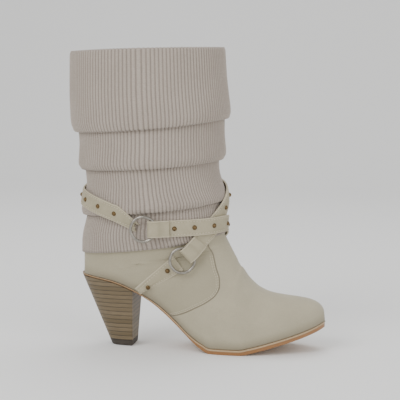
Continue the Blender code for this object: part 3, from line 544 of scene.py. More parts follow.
def bend(a, b, c, d, t):
    a, b, c, d = (np.array(p)[None, :] for p in (a, b, c, d))
    t = t[:, None]
    return (1 - t) ** 3 * a + 3 * (1 - t) ** 2 * t * b + 3 * (1 - t) * t * t * c + t**3 * d


def foot_section(number):
    """One section of the upper, from the outer side's sole edge over the ridge to the inner's."""
    row = [float(read(UPPER_SECTIONS, k, number)) for k in range(1, 9)]
    foot, vamp, height, swell_out, swell_in, belly, crown, flank = row
    foot_x, vamp_x = BACK_X + foot * BOOT_LENGTH, BACK_X + vamp * BOOT_LENGTH
    foot_z = float(sole_top(foot_x)) + GAP
    vamp_z = foot_z + height * INSTEP_RISE
    ridge = TOE_SWING * max(0.0, (foot - BALL_ALONG) / (1 - BALL_ALONG))
    halves = []
    for side, swell in ((-1, swell_out), (1, swell_in)):
        end = float(outline(foot_x, side)) - side * FEATHER_INSET
        wide = end + side * swell * BALL_WIDTH
        tuck = 0.15 * belly * end / wide
        crest = (1.0, ridge + crown * (wide - ridge))
        shoulder = (belly + flank * (1 - belly), wide)
        above = bend((1.0, ridge), crest, shoulder, (belly, wide), np.arange(STEPS_UP) / STEPS_UP)
        below = bend(
            (belly, wide),
            (0.45 * belly, wide),
            (tuck, end + 0.55 * (wide - end)),
            (0.0, end),
            np.arange(STEPS_DOWN + 1) / STEPS_DOWN,
        )
        t, y = np.concatenate([above, below]).T
        points = [foot_x + t * (vamp_x - foot_x), y, foot_z + t * (vamp_z - foot_z)]
        halves.append(np.stack(points, -1))
    return np.concatenate([halves[0][::-1], halves[1][1:]])


rings = [foot_section(number) for number in np.linspace(0, 18, 145)]
half = np.linspace(0, math.pi, STEPS_UP + STEPS_DOWN + 1)
turns = np.concatenate([-half[::-1], half[1:]])
for drop in (-0.0112, -0.0085, -0.0060, -0.0033, -0.0005, 0.0027, 0.0060, 0.0100, 0.0145):
    ring = leg_point(turns, leg_height(HEM, turns) + drop, -KNIT_WALL - GAP)
    ring[-1] = ring[0]
    rings.append(ring)
outer_face = np.stack(rings)


def stroke(points, line, width, depth):
    """How far each point moves in or out under a soft crease laid along a given line."""
    line = np.array(line)
    near = np.full(points.shape[:-1], 1e9)
    for a, b in zip(line, line[1:]):
        t = np.clip(((points - a) @ (b - a)) / ((b - a) @ (b - a)), 0, 1)
        near = np.minimum(near, np.linalg.norm(points - a - t[..., None] * (b - a), axis=-1))
    return depth * np.exp(-((near / width) ** 2))


CREASES = (
    ([(0.1090, -0.024, 0.100), (0.1130, -0.028, 0.086), (0.1120, -0.032, 0.070)], 0.0050, -0.0008),
    ([(0.1170, -0.016, 0.094), (0.1190, -0.024, 0.080), (0.1190, -0.030, 0.066)], 0.0045, 0.0006),
    ([(0.1240, 0.018, 0.082), (0.1180, 0.030, 0.068), (0.1080, 0.037, 0.052)], 0.0060, -0.0009),
    ([(0.1500, -0.020, 0.058), (0.1480, -0.030, 0.045), (0.1420, -0.038, 0.030)], 0.0060, -0.0006),
    ([(0.0100, -0.033, 0.100), (0.0220, -0.036, 0.088), (0.0400, -0.036, 0.078)], 0.0060, -0.0006),
    ([(-0.0340, -0.012, 0.098), (-0.0260, -0.024, 0.094), (-0.0100, -0.031, 0.094)], 0.0045, -0.0005),
    ([(0.0200, 0.034, 0.096), (0.0420, 0.036, 0.082), (0.0600, 0.036, 0.068)], 0.0060, -0.0007),
)
across = np.gradient(outer_face, axis=1)
down = np.gradient(outer_face, axis=0)
facing = np.cross(across, down)
facing /= np.maximum(np.linalg.norm(facing, axis=-1, keepdims=True), 1e-12)
centre = np.array([outer_face[..., 0].mean(), 0.0, 0.03])
if (facing * (outer_face - outer_face.mean((0, 1)))).sum() < 0:
    facing = -facing
for line, width, depth in CREASES:
    outer_face += facing * stroke(outer_face, line, width, depth)[..., None]
upper = skin("upper_leather", outer_face, ring=False)
bm = bmesh.new()
bm.from_mesh(upper.data)
bm.verts.ensure_lookup_table()
bm.faces.new([bm.verts[k] for k in range(outer_face.shape[1])][::-1])
bmesh.ops.remove_doubles(bm, verts=bm.verts, dist=1e-6)
bmesh.ops.recalc_face_normals(bm, faces=bm.faces)
bm.normal_update()
faces, rims = list(bm.faces), [edge for edge in bm.edges if edge.is_boundary]
lining = {}
for vert in list(bm.verts):
    inward = -vert.normal
    if vert.is_boundary:
        inward = Vector((inward.x, inward.y, 0.0)).normalized()
    spot = vert.co + inward * UPPER_WALL
    spot.z = max(spot.z, float(sole_top(spot.x)) + GAP)
    lining[vert] = bm.verts.new(spot)
for edge in rims:
    a, b = edge.link_loops[0].vert, edge.link_loops[0].link_loop_next.vert
    bm.faces.new((b, a, lining[a], lining[b])).smooth = True
for face in faces:
    bm.faces.new([lining[vert] for vert in reversed(face.verts)]).smooth = True
bm.to_mesh(upper.data)
bm.free()
upper.data.set_sharp_from_angle(angle=math.radians(50))
spots = np.array([vert.co for vert in upper.data.vertices])
seam_x = read(SEAM, 1, spots[:, 2])
seam_slope = (read(SEAM, 1, spots[:, 2] + 0.0005) - read(SEAM, 1, spots[:, 2] - 0.0005)) / 0.001
from_seam = upper.data.attributes.new("from_seam", "FLOAT", "POINT")
from_seam.data.foreach_set(
    "value", ((spots[:, 0] - seam_x) / np.hypot(1.0, seam_slope)).astype(np.float32)
)
above_sole = upper.data.attributes.new("above_sole", "FLOAT", "POINT")
above_sole.data.foreach_set("value", (spots[:, 2] - sole_top(spots[:, 0])).astype(np.float32))

# Nubuck: full-grain leather buffed to a short nap, matt, with cloudy changes of tone where the nap
# lies differently, darkened along the sole as painted shade; the quarters lie over the vamp at the
# seam, where a dark line of painted shade follows the lapped edge.
nubuck, tree, shader = material_named("taupe_nubuck")
place = node(tree, "ShaderNodeTexCoord")
seam = node(tree, "ShaderNodeAttribute", attribute_name="from_seam")
height = node(tree, "ShaderNodeAttribute", attribute_name="above_sole")
clouds = node(
    tree, "ShaderNodeTexNoise", {"Vector": place.outputs["Object"], "Scale": 42.0, "Detail": 5.0}
)
nap = node(
    tree, "ShaderNodeTexNoise", {"Vector": place.outputs["Object"], "Scale": 1400.0, "Detail": 3.0}
)
vamp_tone = node(tree, "ShaderNodeMix", {"Factor": clouds.outputs["Fac"]}, data_type="RGBA")
vamp_tone.inputs["A"].default_value = linear("A39B85")
vamp_tone.inputs["B"].default_value = linear("B3AB94")
quarter_tone = node(tree, "ShaderNodeMix", {"Factor": clouds.outputs["Fac"]}, data_type="RGBA")
quarter_tone.inputs["A"].default_value = linear("9B937D")
quarter_tone.inputs["B"].default_value = linear("A9A18A")
ahead = node(
    tree,
    "ShaderNodeMapRange",
    {"Value": seam.outputs["Fac"], "From Min": -0.0004, "From Max": 0.0004},
)
panel_tone = node(
    tree,
    "ShaderNodeMix",
    {
        "Factor": ahead.outputs[0],
        "A": quarter_tone.outputs["Result"],
        "B": vamp_tone.outputs["Result"],
    },
    data_type="RGBA",
)
# painted shade: the leather darkens towards the sole, within 12 mm of it
painted_sole_shade = node(
    tree,
    "ShaderNodeMapRange",
    {"Value": height.outputs["Fac"], "From Min": 0.012, "From Max": 0.0, "To Max": 0.55},
    interpolation_type="SMOOTHSTEP",
)
painted_sole_shade_tone = node(
    tree,
    "ShaderNodeMix",
    {"Factor": painted_sole_shade.outputs[0], "A": panel_tone.outputs["Result"]},
    data_type="RGBA",
)
painted_sole_shade_tone.inputs["B"].default_value = linear("7C725E")
# painted shade: a dark line along the seam where the quarter's edge laps over the vamp
off_seam = node(tree, "ShaderNodeMath", {0: seam.outputs["Fac"]}, operation="ABSOLUTE")
seam_line = node(
    tree,
    "ShaderNodeMapRange",
    {"Value": off_seam.outputs[0], "From Min": 0.0009, "From Max": 0.0002, "To Max": 0.7},
    interpolation_type="SMOOTHSTEP",
)
painted_seam_shade_tone = node(
    tree,
    "ShaderNodeMix",
    {"Factor": seam_line.outputs[0], "A": painted_sole_shade_tone.outputs["Result"]},
    data_type="RGBA",
)
painted_seam_shade_tone.inputs["B"].default_value = linear("6E6553")
nap_tone = node(
    tree,
    "ShaderNodeMapRange",
    {"Value": nap.outputs["Fac"], "From Min": 0.3, "From Max": 0.7, "To Min": 0.93, "To Max": 1.06},
)
nubuck_tone = node(
    tree,
    "ShaderNodeMix",
    {"Factor": 1.0, "A": painted_seam_shade_tone.outputs["Result"], "B": nap_tone.outputs[0]},
    data_type="RGBA",
    blend_type="MULTIPLY",
)
tree.links.new(nubuck_tone.outputs["Result"], shader.inputs["Base Color"])
shader.inputs["Roughness"].default_value = 0.82
shader.inputs["Specular IOR Level"].default_value = 0.25
shader.inputs["Sheen Weight"].default_value = 0.18
shader.inputs["Sheen Roughness"].default_value = 0.45
overlap = node(
    tree,
    "ShaderNodeMapRange",
    {"Value": seam.outputs["Fac"], "From Min": 0.0003, "From Max": -0.0003},
    interpolation_type="SMOOTHSTEP",
)
step_relief = node(
    tree, "ShaderNodeBump", {"Height": overlap.outputs[0], "Strength": 0.8, "Distance": 0.0008}
)
cloud_relief = node(
    tree,
    "ShaderNodeBump",
    {
        "Height": clouds.outputs["Fac"],
        "Normal": step_relief.outputs["Normal"],
        "Strength": 0.35,
        "Distance": 0.0012,
    },
)
nap_relief = node(
    tree,
    "ShaderNodeBump",
    {
        "Height": nap.outputs["Fac"],
        "Normal": cloud_relief.outputs["Normal"],
        "Strength": 0.25,
        "Distance": 0.0002,
    },
)
tree.links.new(nap_relief.outputs["Normal"], shader.inputs["Normal"])
upper.data.materials.append(nubuck)
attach(upper, "root")
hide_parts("upper")


# Seam stitches: two rows of pale waxed thread through the quarter's edge, where it lies over the
# vamp, on both sides of the foot.
def stitch_tree():
    """Stitches of one length, evenly spaced along every line of the mesh it is given."""
    tree = bpy.data.node_groups.new("run_of_stitches", "GeometryNodeTree")
    sockets = tree.interface
    sockets.new_socket("Geometry", in_out="INPUT", socket_type="NodeSocketGeometry")
    for name in ("Stitch Spacing", "Stitch Length", "Thread Width"):
        sockets.new_socket(name, in_out="INPUT", socket_type="NodeSocketFloat")
    sockets.new_socket("Thread", in_out="INPUT", socket_type="NodeSocketMaterial")
    sockets.new_socket("Geometry", in_out="OUTPUT", socket_type="NodeSocketGeometry")
    given, result = node(tree, "NodeGroupInput"), node(tree, "NodeGroupOutput")
    lines = node(tree, "GeometryNodeMeshToCurve", {"Mesh": given.outputs["Geometry"]})
    points = node(
        tree,
        "GeometryNodeCurveToPoints",
        {"Curve": lines.outputs["Curve"], "Length": given.outputs["Stitch Spacing"]},
        mode="LENGTH",
    )
    thread = node(tree, "GeometryNodeMeshUVSphere", {"Segments": 8, "Rings": 6, "Radius": 0.5})
    size = node(
        tree,
        "ShaderNodeCombineXYZ",
        {
            "X": given.outputs["Thread Width"],
            "Y": given.outputs["Thread Width"],
            "Z": given.outputs["Stitch Length"],
        },
    )
    placed = node(
        tree,
        "GeometryNodeInstanceOnPoints",
        {
            "Points": points.outputs["Points"],
            "Instance": thread.outputs["Mesh"],
            "Rotation": points.outputs["Rotation"],
            "Scale": size.outputs[0],
        },
    )
    real = node(tree, "GeometryNodeRealizeInstances", {"Geometry": placed.outputs["Instances"]})
    smooth = node(tree, "GeometryNodeSetShadeSmooth", {"Geometry": real.outputs["Geometry"]})
    coloured = node(
        tree,
        "GeometryNodeSetMaterial",
        {"Geometry": smooth.outputs["Geometry"], "Material": given.outputs["Thread"]},
    )
    tree.links.new(coloured.outputs["Geometry"], result.inputs["Geometry"])
    return tree


def grow(name, mesh, tree, **values):
    """Runs a Geometry Nodes tree on a mesh with its named inputs, and keeps the plain result."""
    seed = bpy.data.objects.new(name + "_guide", mesh)
    bpy.context.scene.collection.objects.link(seed)
    modifier = seed.modifiers.new("grow", "NODES")
    modifier.node_group = tree
    for item in tree.interface.items_tree:
        if item.in_out == "INPUT" and item.name in values:
            modifier[item.identifier] = values[item.name]
    seed.update_tag()
    grown = bpy.data.meshes.new_from_object(
        seed.evaluated_get(bpy.context.evaluated_depsgraph_get())
    )
    grown.name = name
    bpy.data.objects.remove(seed)
    obj = bpy.data.objects.new(name, grown)
    bpy.context.scene.collection.objects.link(obj)
    return obj


def lines_mesh(name, lines):
    """A mesh of bare lines, one through each list of points."""
    points, edges = [], []
    for line in lines:
        edges += [(len(points) + k, len(points) + k + 1) for k in range(len(line) - 1)]
        points += [tuple(point) for point in line]
    mesh = bpy.data.meshes.new(name)
    mesh.from_pydata(points, edges, [])
    return mesh


def search_tree(obj):
    """The faces of one object, to find where a line of sight or a nearest place meets it."""
    mesh = obj.data
    return BVHTree.FromPolygons(
        [vert.co.copy() for vert in mesh.vertices], [list(face.vertices) for face in mesh.polygons]
    )


# Waxed polyester thread: pale, smooth and a little shiny, against the matt leather.
waxed_thread, tree, shader = material_named("pale_waxed_thread")
place = node(tree, "ShaderNodeTexCoord")
twist = node(
    tree, "ShaderNodeTexNoise", {"Vector": place.outputs["Object"], "Scale": 900.0, "Detail": 1.0}
)
thread_tone = node(tree, "ShaderNodeMix", {"Factor": twist.outputs["Fac"]}, data_type="RGBA")
thread_tone.inputs["A"].default_value = linear("B5AB93")
thread_tone.inputs["B"].default_value = linear("D2C9B2")
tree.links.new(thread_tone.outputs["Result"], shader.inputs["Base Color"])
shader.inputs["Roughness"].default_value = 0.55

stitches = stitch_tree()
upper_surface = search_tree(upper)
seam_lines = []
for side in (-1, 1):
    for back_by in (0.0014, 0.0032):
        line = []
        for z in np.arange(0.0375, 0.0985, 0.0011):
            slope = float(read(SEAM, 1, z + 0.0005) - read(SEAM, 1, z - 0.0005)) / 0.001
            x = float(read(SEAM, 1, z)) - back_by * math.hypot(1.0, slope)
            hit = upper_surface.ray_cast(Vector((x, side * 0.08, z)), Vector((0, -side, 0)))
            if hit[0] is not None and abs(hit[1].y) > 0.3:
                line.append(hit[0] + hit[1] * 0.00005)
        if len(line) > 3:
            seam_lines.append(line)
seam_stitches = grow(
    "upper_seam_stitches",
    lines_mesh("seam_lines", seam_lines),
    stitches,
    **{
        "Stitch Spacing": 0.0026,
        "Stitch Length": 0.0020,
        "Thread Width": 0.0006,
        "Thread": waxed_thread,
    },
)
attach(seam_stitches, "root")

# Knit shaft: one tube of two-by-two rib knit, pushed down the leg so that it doubles back on itself
# in three folds, turned in at the collar and lying over the leather upper at its lower edge.
FOLD_OVERLAP, HEM_DEPTH, UPPER_OVERLAP = 0.010, 0.022, 0.015
RIBS, RIB_DEPTH = 132, 0.00042
COLLAR = (0.986, 1.000, 1.006, 1.000)
FOLDS = (
    ((0.638, 0.656, 0.700, 0.660), 1.8),
    ((0.472, 0.484, 0.519, 0.487), 1.7),
    ((0.270, 0.295, 0.345, 0.300), 1.6),
)
layer = KNIT_WALL + LAYER_GAP
turns = 2 * math.pi * np.arange(4 * RIBS) / (4 * RIBS)
flat = 0 * turns
collar_top = leg_height(COLLAR, turns)
at = flat - 0.5 * KNIT_WALL
profile = [
    (at - layer, collar_top - HEM_DEPTH, 1),
    (at - layer, collar_top - HEM_DEPTH / 2, 1),
    (at - layer, collar_top - 1.1 * KNIT_WALL, 2),
    (at - layer / 2, collar_top - 0.5 * KNIT_WALL, 2),
    (at, collar_top - 1.1 * KNIT_WALL, 3),
]
for fold_levels, rolls in FOLDS:
    lip = leg_height(fold_levels, turns)
    start, start_z = profile[-1][:2]
    span = start_z - lip
    roll = flat + rolls * KNIT_WALL / 2
    out = layer + roll
    profile += [
        (start + 0.22 * (out - start), lip + 0.62 * span, 3),
        (start + 0.58 * (out - start), lip + 0.38 * span, 3),
        (out, lip + 0.14 * span, 3),
        (out - 0.55 * roll, lip + 1.6 * KNIT_WALL, 3),
        (out - 0.55 * roll - layer / 2, lip + 0.5 * KNIT_WALL, 2),
        (flat, lip + 1.7 * KNIT_WALL, 1),
        (flat, lip + FOLD_OVERLAP - 0.7 * KNIT_WALL, 1),
        (flat - layer / 2, lip + FOLD_OVERLAP, 1),
        (flat - layer, lip + FOLD_OVERLAP - 0.7 * KNIT_WALL, 3),
    ]
hem = leg_height(HEM, turns)
start, start_z = profile[-1][:2]
on_leather = hem + UPPER_OVERLAP + 0.004
profile += [
    (start, 0.65 * start_z + 0.35 * on_leather, 3),
    (at, on_leather, 2),
    (at, hem + 0.5 * UPPER_OVERLAP, 2),
    (at, hem, 1),
]
marks = np.stack([np.stack([o, z], -1) for o, z, steps in profile])
padded_marks = np.concatenate([marks[:1], marks, marks[-1:]])
middle = []
for k, (o, z, steps) in enumerate(profile[:-1]):
    a, b, c, d = padded_marks[k : k + 4]
    for t in np.arange(steps) / steps:
        curve = (-a + 3 * b - 3 * c + d) * t**3 + (2 * a - 5 * b + 4 * c - d) * t**2
        middle.append(0.5 * (curve + (c - a) * t + 2 * b))
middle = np.stack(middle + [marks[-1]])
ahead_step = np.gradient(middle, axis=0)
ahead_step /= np.linalg.norm(ahead_step, axis=-1, keepdims=True)
sideways = np.stack([ahead_step[..., 1], -ahead_step[..., 0]], -1) * KNIT_WALL / 2
faces_of_cloth = np.concatenate([middle + sideways, (middle - sideways)[::-1]])
tube_points = leg_point(turns[None, :], faces_of_cloth[..., 1], faces_of_cloth[..., 0])
knit_body = skin("knit_body", np.swapaxes(tube_points, 0, 1), tube=True)
rows = len(middle)
course = np.concatenate([np.zeros(1), np.linalg.norm(np.diff(middle[:, 0], axis=0), axis=1)]).cumsum()
course = np.concatenate([course, course[::-1]])
right_side = np.concatenate([np.zeros(rows), np.ones(rows)])
for name, values in (
    ("rib_turn", np.repeat(np.arange(4 * RIBS) / (4 * RIBS), 2 * rows)),
    ("course", np.tile(course, 4 * RIBS)),
    ("right_side", np.tile(right_side, 4 * RIBS)),
):
    attribute = knit_body.data.attributes.new(name, "FLOAT", "POINT")
    attribute.data.foreach_set("value", values.astype(np.float32))


def rib_tree():
    """Raises rounded ribs along the outer face of the cloth and stores how high each place is."""
    tree = bpy.data.node_groups.new("knit_ribs", "GeometryNodeTree")
    sockets = tree.interface
    sockets.new_socket("Geometry", in_out="INPUT", socket_type="NodeSocketGeometry")
    for name in ("Rib Count", "Rib Depth"):
        sockets.new_socket(name, in_out="INPUT", socket_type="NodeSocketFloat")
    sockets.new_socket("Cloth", in_out="INPUT", socket_type="NodeSocketMaterial")
    sockets.new_socket("Geometry", in_out="OUTPUT", socket_type="NodeSocketGeometry")
    given, result = node(tree, "NodeGroupInput"), node(tree, "NodeGroupOutput")
    turn = node(tree, "GeometryNodeInputNamedAttribute", {"Name": "rib_turn"}, data_type="FLOAT")
    side = node(tree, "GeometryNodeInputNamedAttribute", {"Name": "right_side"}, data_type="FLOAT")
    counted = node(
        tree,
        "ShaderNodeMath",
        {0: turn.outputs["Attribute"], 1: given.outputs["Rib Count"]},
        operation="MULTIPLY",
    )
    angle = node(
        tree, "ShaderNodeMath", {0: counted.outputs[0], 1: 2 * math.pi}, operation="MULTIPLY"
    )
    wave = node(tree, "ShaderNodeMath", {0: angle.outputs[0]}, operation="COSINE")
    square = node(
        tree, "ShaderNodeMath", {0: wave.outputs[0], 1: wave.outputs[0]}, operation="MULTIPLY"
    )
    rounded = node(
        tree,
        "ShaderNodeMath",
        {0: square.outputs[0], 1: -0.45, 2: wave.outputs[0]},
        operation="MULTIPLY_ADD",
    )
    raised = node(
        tree, "ShaderNodeMath", {0: rounded.outputs[0], 1: 0.45}, operation="ADD"
    )
    shown = node(
        tree,
        "ShaderNodeMath",
        {0: raised.outputs[0], 1: side.outputs["Attribute"]},
        operation="MULTIPLY",
    )
    deep = node(
        tree,
        "ShaderNodeMath",
        {0: shown.outputs[0], 1: given.outputs["Rib Depth"]},
        operation="MULTIPLY",
    )
    normal = node(tree, "GeometryNodeInputNormal")
    move = node(
        tree,
        "ShaderNodeVectorMath",
        {0: normal.outputs["Normal"], "Scale": deep.outputs[0]},
        operation="SCALE",
    )
    stored = node(
        tree,
        "GeometryNodeStoreNamedAttribute",
        {"Geometry": given.outputs["Geometry"], "Name": "rib_height", "Value": rounded.outputs[0]},
        data_type="FLOAT",
        domain="POINT",
    )
    moved = node(
        tree,
        "GeometryNodeSetPosition",
        {"Geometry": stored.outputs["Geometry"], "Offset": move.outputs[0]},
    )
    real = node(tree, "GeometryNodeRealizeInstances", {"Geometry": moved.outputs["Geometry"]})
    coloured = node(
        tree,
        "GeometryNodeSetMaterial",
        {"Geometry": real.outputs["Geometry"], "Material": given.outputs["Cloth"]},
    )
    tree.links.new(coloured.outputs["Geometry"], result.inputs["Geometry"])
    return tree


# Rib knit of a wool and acrylic yarn: soft, quite matt, with a fuzzy sheen at grazing angles, the
# furrows between the ribs darkened as painted shade, small V-shaped loops along every rib.
STITCH_HEIGHT = 0.0019  # real courses are 1.3 mm, drawn coarser so that they show
knit, tree, shader = material_named("taupe_rib_knit")
place = node(tree, "ShaderNodeTexCoord")
rib = node(tree, "ShaderNodeAttribute", attribute_name="rib_height")
along = node(tree, "ShaderNodeAttribute", attribute_name="course")
heather = node(
    tree, "ShaderNodeTexNoise", {"Vector": place.outputs["Object"], "Scale": 900.0, "Detail": 3.0}
)
patches = node(
    tree, "ShaderNodeTexNoise", {"Vector": place.outputs["Object"], "Scale": 26.0, "Detail": 3.0}
)
yarn = node(tree, "ShaderNodeMix", {"Factor": patches.outputs["Fac"]}, data_type="RGBA")
yarn.inputs["A"].default_value = linear("A0958A")
yarn.inputs["B"].default_value = linear("B1A69B")
# painted shade: the furrows between the ribs are darkened by how deep they lie
furrow = node(
    tree,
    "ShaderNodeMapRange",
    {"Value": rib.outputs["Fac"], "From Min": 0.3, "From Max": -1.3, "To Max": 0.6},
    interpolation_type="SMOOTHSTEP",
)
painted_furrow_shade_tone = node(
    tree,
    "ShaderNodeMix",
    {"Factor": furrow.outputs[0], "A": yarn.outputs["Result"]},
    data_type="RGBA",
)
painted_furrow_shade_tone.inputs["B"].default_value = linear("6E635A")
heather_tone = node(
    tree,
    "ShaderNodeMapRange",
    {
        "Value": heather.outputs["Fac"],
        "From Min": 0.3,
        "From Max": 0.7,
        "To Min": 0.90,
        "To Max": 1.08,
    },
)
knit_tone = node(
    tree,
    "ShaderNodeMix",
    {"Factor": 1.0, "A": painted_furrow_shade_tone.outputs["Result"], "B": heather_tone.outputs[0]},
    data_type="RGBA",
    blend_type="MULTIPLY",
)
tree.links.new(knit_tone.outputs["Result"], shader.inputs["Base Color"])
shader.inputs["Roughness"].default_value = 0.95
shader.inputs["Specular IOR Level"].default_value = 0.15
shader.inputs["Sheen Weight"].default_value = 0.25
shader.inputs["Sheen Roughness"].default_value = 0.5
loops = node(
    tree,
    "ShaderNodeMath",
    {0: along.outputs["Fac"], 1: 2 * math.pi / STITCH_HEIGHT},
    operation="MULTIPLY",
)
loop_wave = node(tree, "ShaderNodeMath", {0: loops.outputs[0]}, operation="SINE")
loop_relief = node(
    tree, "ShaderNodeBump", {"Height": loop_wave.outputs[0], "Strength": 0.35, "Distance": 0.0002}
)
fuzz_relief = node(
    tree,
    "ShaderNodeBump",
    {
        "Height": heather.outputs["Fac"],
        "Normal": loop_relief.outputs["Normal"],
        "Strength": 0.4,
        "Distance": 0.0003,
    },
)
tree.links.new(fuzz_relief.outputs["Normal"], shader.inputs["Normal"])
settle(knit_body)
knit_mesh = knit_body.data
bpy.data.objects.remove(knit_body)
knit_shaft = grow(
    "knit_shaft",
    knit_mesh,
    rib_tree(),
    **{"Rib Count": float(RIBS), "Rib Depth": RIB_DEPTH, "Cloth": knit},
)
knit_shaft.data.shade_smooth()
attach(knit_shaft, "root")
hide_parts("shaft_knit")


# Straps: flat strips of the same leather with a pale cut edge and a row of stitches near each side.
# Two end in loops folded round the rings; the others are caught under the sole's edge.
STRAP_WIDTH, STRAP_THICKNESS, STITCH_INSET = 0.0165, 0.0018, 0.0021


def strap_rings(solid, start):
    """The solid's cross-sections in order from its start: its six corners, two rows of three
    (inner face, then outer face), each from the same side of the strap."""
    bm = bmesh.new()
    bm.from_mesh(solid.data)
    bmesh.ops.remove_doubles(bm, verts=bm.verts, dist=1e-6)
    bm.verts.ensure_lookup_table()
    found = sorted(bm.verts, key=lambda vert: (vert.co - Vector(start)).length)[:6]
    seen = set(found)
    rings = []
    while found:
        rings.append(np.array([vert.co for vert in found]))
        ahead = {edge.other_vert(vert) for vert in found for edge in vert.link_edges} - seen
        seen |= ahead
        found = sorted(ahead, key=lambda vert: vert.index)
    bm.free()
    rings = [ring for ring in rings if len(ring) == 6]
    middles = np.array([ring.mean(0) for ring in rings])
    ordered, last = [], None
    for k, ring in enumerate(rings):
        onward = middles[min(k + 1, len(rings) - 1)] - middles[max(k - 1, 0)]
        spread = ring - middles[k]
        spread -= np.outer(spread @ onward, onward) / (onward @ onward)
        across = np.linalg.svd(spread)[2][0]
        if last is None:
            leg = np.array([SHAFT_AXIS_X, 0.0, middles[k][2]])
            if np.cross(onward, across) @ (middles[k] - leg) < 0:
                across = -across
        elif across @ last < 0:
            across = -across
        last = across
        trio = ring[np.argsort(spread @ across)].reshape(3, 2, 3)
        rise = (trio - middles[k]) @ np.cross(onward, across)
        pairs = [pair[np.argsort(height)] for pair, height in zip(trio, rise)]
        ordered.append(np.stack([[pair[0] for pair in pairs], [pair[1] for pair in pairs]]))
    return np.array(ordered)


def through(points, samples):
    """A smooth path through rows of points, in small steps."""
    padded = np.concatenate([points[:1], points, points[-1:]])
    path = []
    for a, b, c, d in zip(padded, padded[1:], padded[2:], padded[3:]):
        for t in np.arange(samples) / samples:
            curve = (-a + 3 * b - 3 * c + d) * t**3 + (2 * a - 5 * b + 4 * c - d) * t**2
            path.append(0.5 * (curve + (c - a) * t + 2 * b))
    return np.array(path + [points[-1]])


# Strap leather: the same hide with its grain left on, smoother and a little shinier than the upper.
hide, tree, shader = material_named("taupe_strap_leather")
place = node(tree, "ShaderNodeTexCoord")
side = node(tree, "ShaderNodeAttribute", attribute_name="from_edge")
pebbles = node(tree, "ShaderNodeTexVoronoi", {"Vector": place.outputs["Object"], "Scale": 950.0})
rub = node(
    tree, "ShaderNodeTexNoise", {"Vector": place.outputs["Object"], "Scale": 110.0, "Detail": 4.0}
)
hide_tone = node(tree, "ShaderNodeMix", {"Factor": rub.outputs["Fac"]}, data_type="RGBA")
hide_tone.inputs["A"].default_value = linear("958C74")
hide_tone.inputs["B"].default_value = linear("B0A78E")
cut = node(
    tree,
    "ShaderNodeMapRange",
    {"Value": side.outputs["Fac"], "From Min": 0.0011, "From Max": 0.0002, "To Max": 0.75},
    interpolation_type="SMOOTHSTEP",
)
cut_tone = node(
    tree,
    "ShaderNodeMix",
    {"Factor": cut.outputs[0], "A": hide_tone.outputs["Result"]},
    data_type="RGBA",
)
cut_tone.inputs["B"].default_value = linear("C4BAA2")
tree.links.new(cut_tone.outputs["Result"], shader.inputs["Base Color"])
shader.inputs["Roughness"].default_value = 0.6
shader.inputs["Specular IOR Level"].default_value = 0.4
off_row = node(
    tree, "ShaderNodeMath", {0: side.outputs["Fac"], 1: STITCH_INSET}, operation="SUBTRACT"
)
row_gap = node(tree, "ShaderNodeMath", {0: off_row.outputs[0]}, operation="ABSOLUTE")
furrow = node(
    tree,
    "ShaderNodeMapRange",
    {"Value": row_gap.outputs[0], "From Min": 0.0, "From Max": 0.0007},
    interpolation_type="SMOOTHSTEP",
)
row_relief = node(
    tree, "ShaderNodeBump", {"Height": furrow.outputs[0], "Strength": 0.6, "Distance": 0.0003}
)
grain_relief = node(
    tree,
    "ShaderNodeBump",
    {
        "Height": pebbles.outputs["Distance"],
        "Normal": row_relief.outputs["Normal"],
        "Strength": 0.2,
        "Distance": 0.0002,
    },
)
tree.links.new(grain_relief.outputs["Normal"], shader.inputs["Normal"])

STRAPS = (
    ("strap_heel", (0.0215, -0.0345, 0.0610)),
    ("strap_wrap", (0.0226, -0.0420, 0.1306)),
    ("strap_instep", (0.0290, 0.0410, 0.0420)),
)
stitch_lines = []
for name, start in STRAPS:
    sections = through(strap_rings(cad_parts[name], start), 4)
    inner_row, outer_row = sections[:, 0], sections[:, 1]
    lengths = np.linspace(-1, 1, 13)
    lengths = np.sign(lengths) * np.abs(lengths) ** 0.8
    rows = []
    for face in (inner_row, outer_row):
        line = []
        for share in lengths:
            near = face[:, 2] if share > 0 else face[:, 0]
            point = face[:, 1] + abs(share) * (near - face[:, 1])
            line.append(point)
        rows.append(np.stack(line, 1))
    ring = np.concatenate([rows[0], rows[1][:, ::-1]], 1)
    strap = skin(name + "_leather", ring, capped=True)
    width = np.linalg.norm(outer_row[:, 2] - outer_row[:, 0], axis=1)
    from_edge = (1 - np.abs(lengths))[None, :] * width[:, None] / 2
    from_edge = np.concatenate([from_edge, from_edge[:, ::-1]], 1)
    attribute = strap.data.attributes.new("from_edge", "FLOAT", "POINT")
    attribute.data.foreach_set("value", from_edge.ravel().astype(np.float32))
    settle(strap)
    strap.data.set_sharp_from_angle(angle=math.radians(50))
    rounding = strap.modifiers.new("edge_rounding", "BEVEL")
    rounding.width, rounding.segments, rounding.limit_method = 0.0004, 3, "ANGLE"
    rounding.angle_limit = math.radians(50)
    strap.data.materials.append(hide)
    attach(strap, "root")
    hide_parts(name)
    for edge in (0, 2):
        toward = (outer_row[:, 1] - outer_row[:, edge]) / (width[:, None] / 2)
        stitch_lines.append(outer_row[:, edge] + toward * STITCH_INSET)
strap_stitches = grow(
    "strap_stitches",
    lines_mesh("stitch_lines", stitch_lines),
    stitches,
    **{
        "Stitch Spacing": 0.0031,
        "Stitch Length": 0.0021,
        "Thread Width": 0.0007,
        "Thread": waxed_thread,
    },
)
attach(strap_stitches, "root")


# Rings: bent from round steel wire and butt-welded, plated antique silver and rubbed back so that
# the hollows stay dark. Each hangs in a strap's folded loop.
def flat_frame(solid):
    """Middle of a flat solid and its three directions, the last one square to its flat side."""
    points = np.array([vert.co for vert in solid.data.vertices])
    middle = (points.min(0) + points.max(0)) / 2
    middle = points.mean(0) if np.ptp(points, axis=0).max() < 0.01 else middle
    return middle, np.linalg.svd(points - points.mean(0), full_matrices=False)[2]
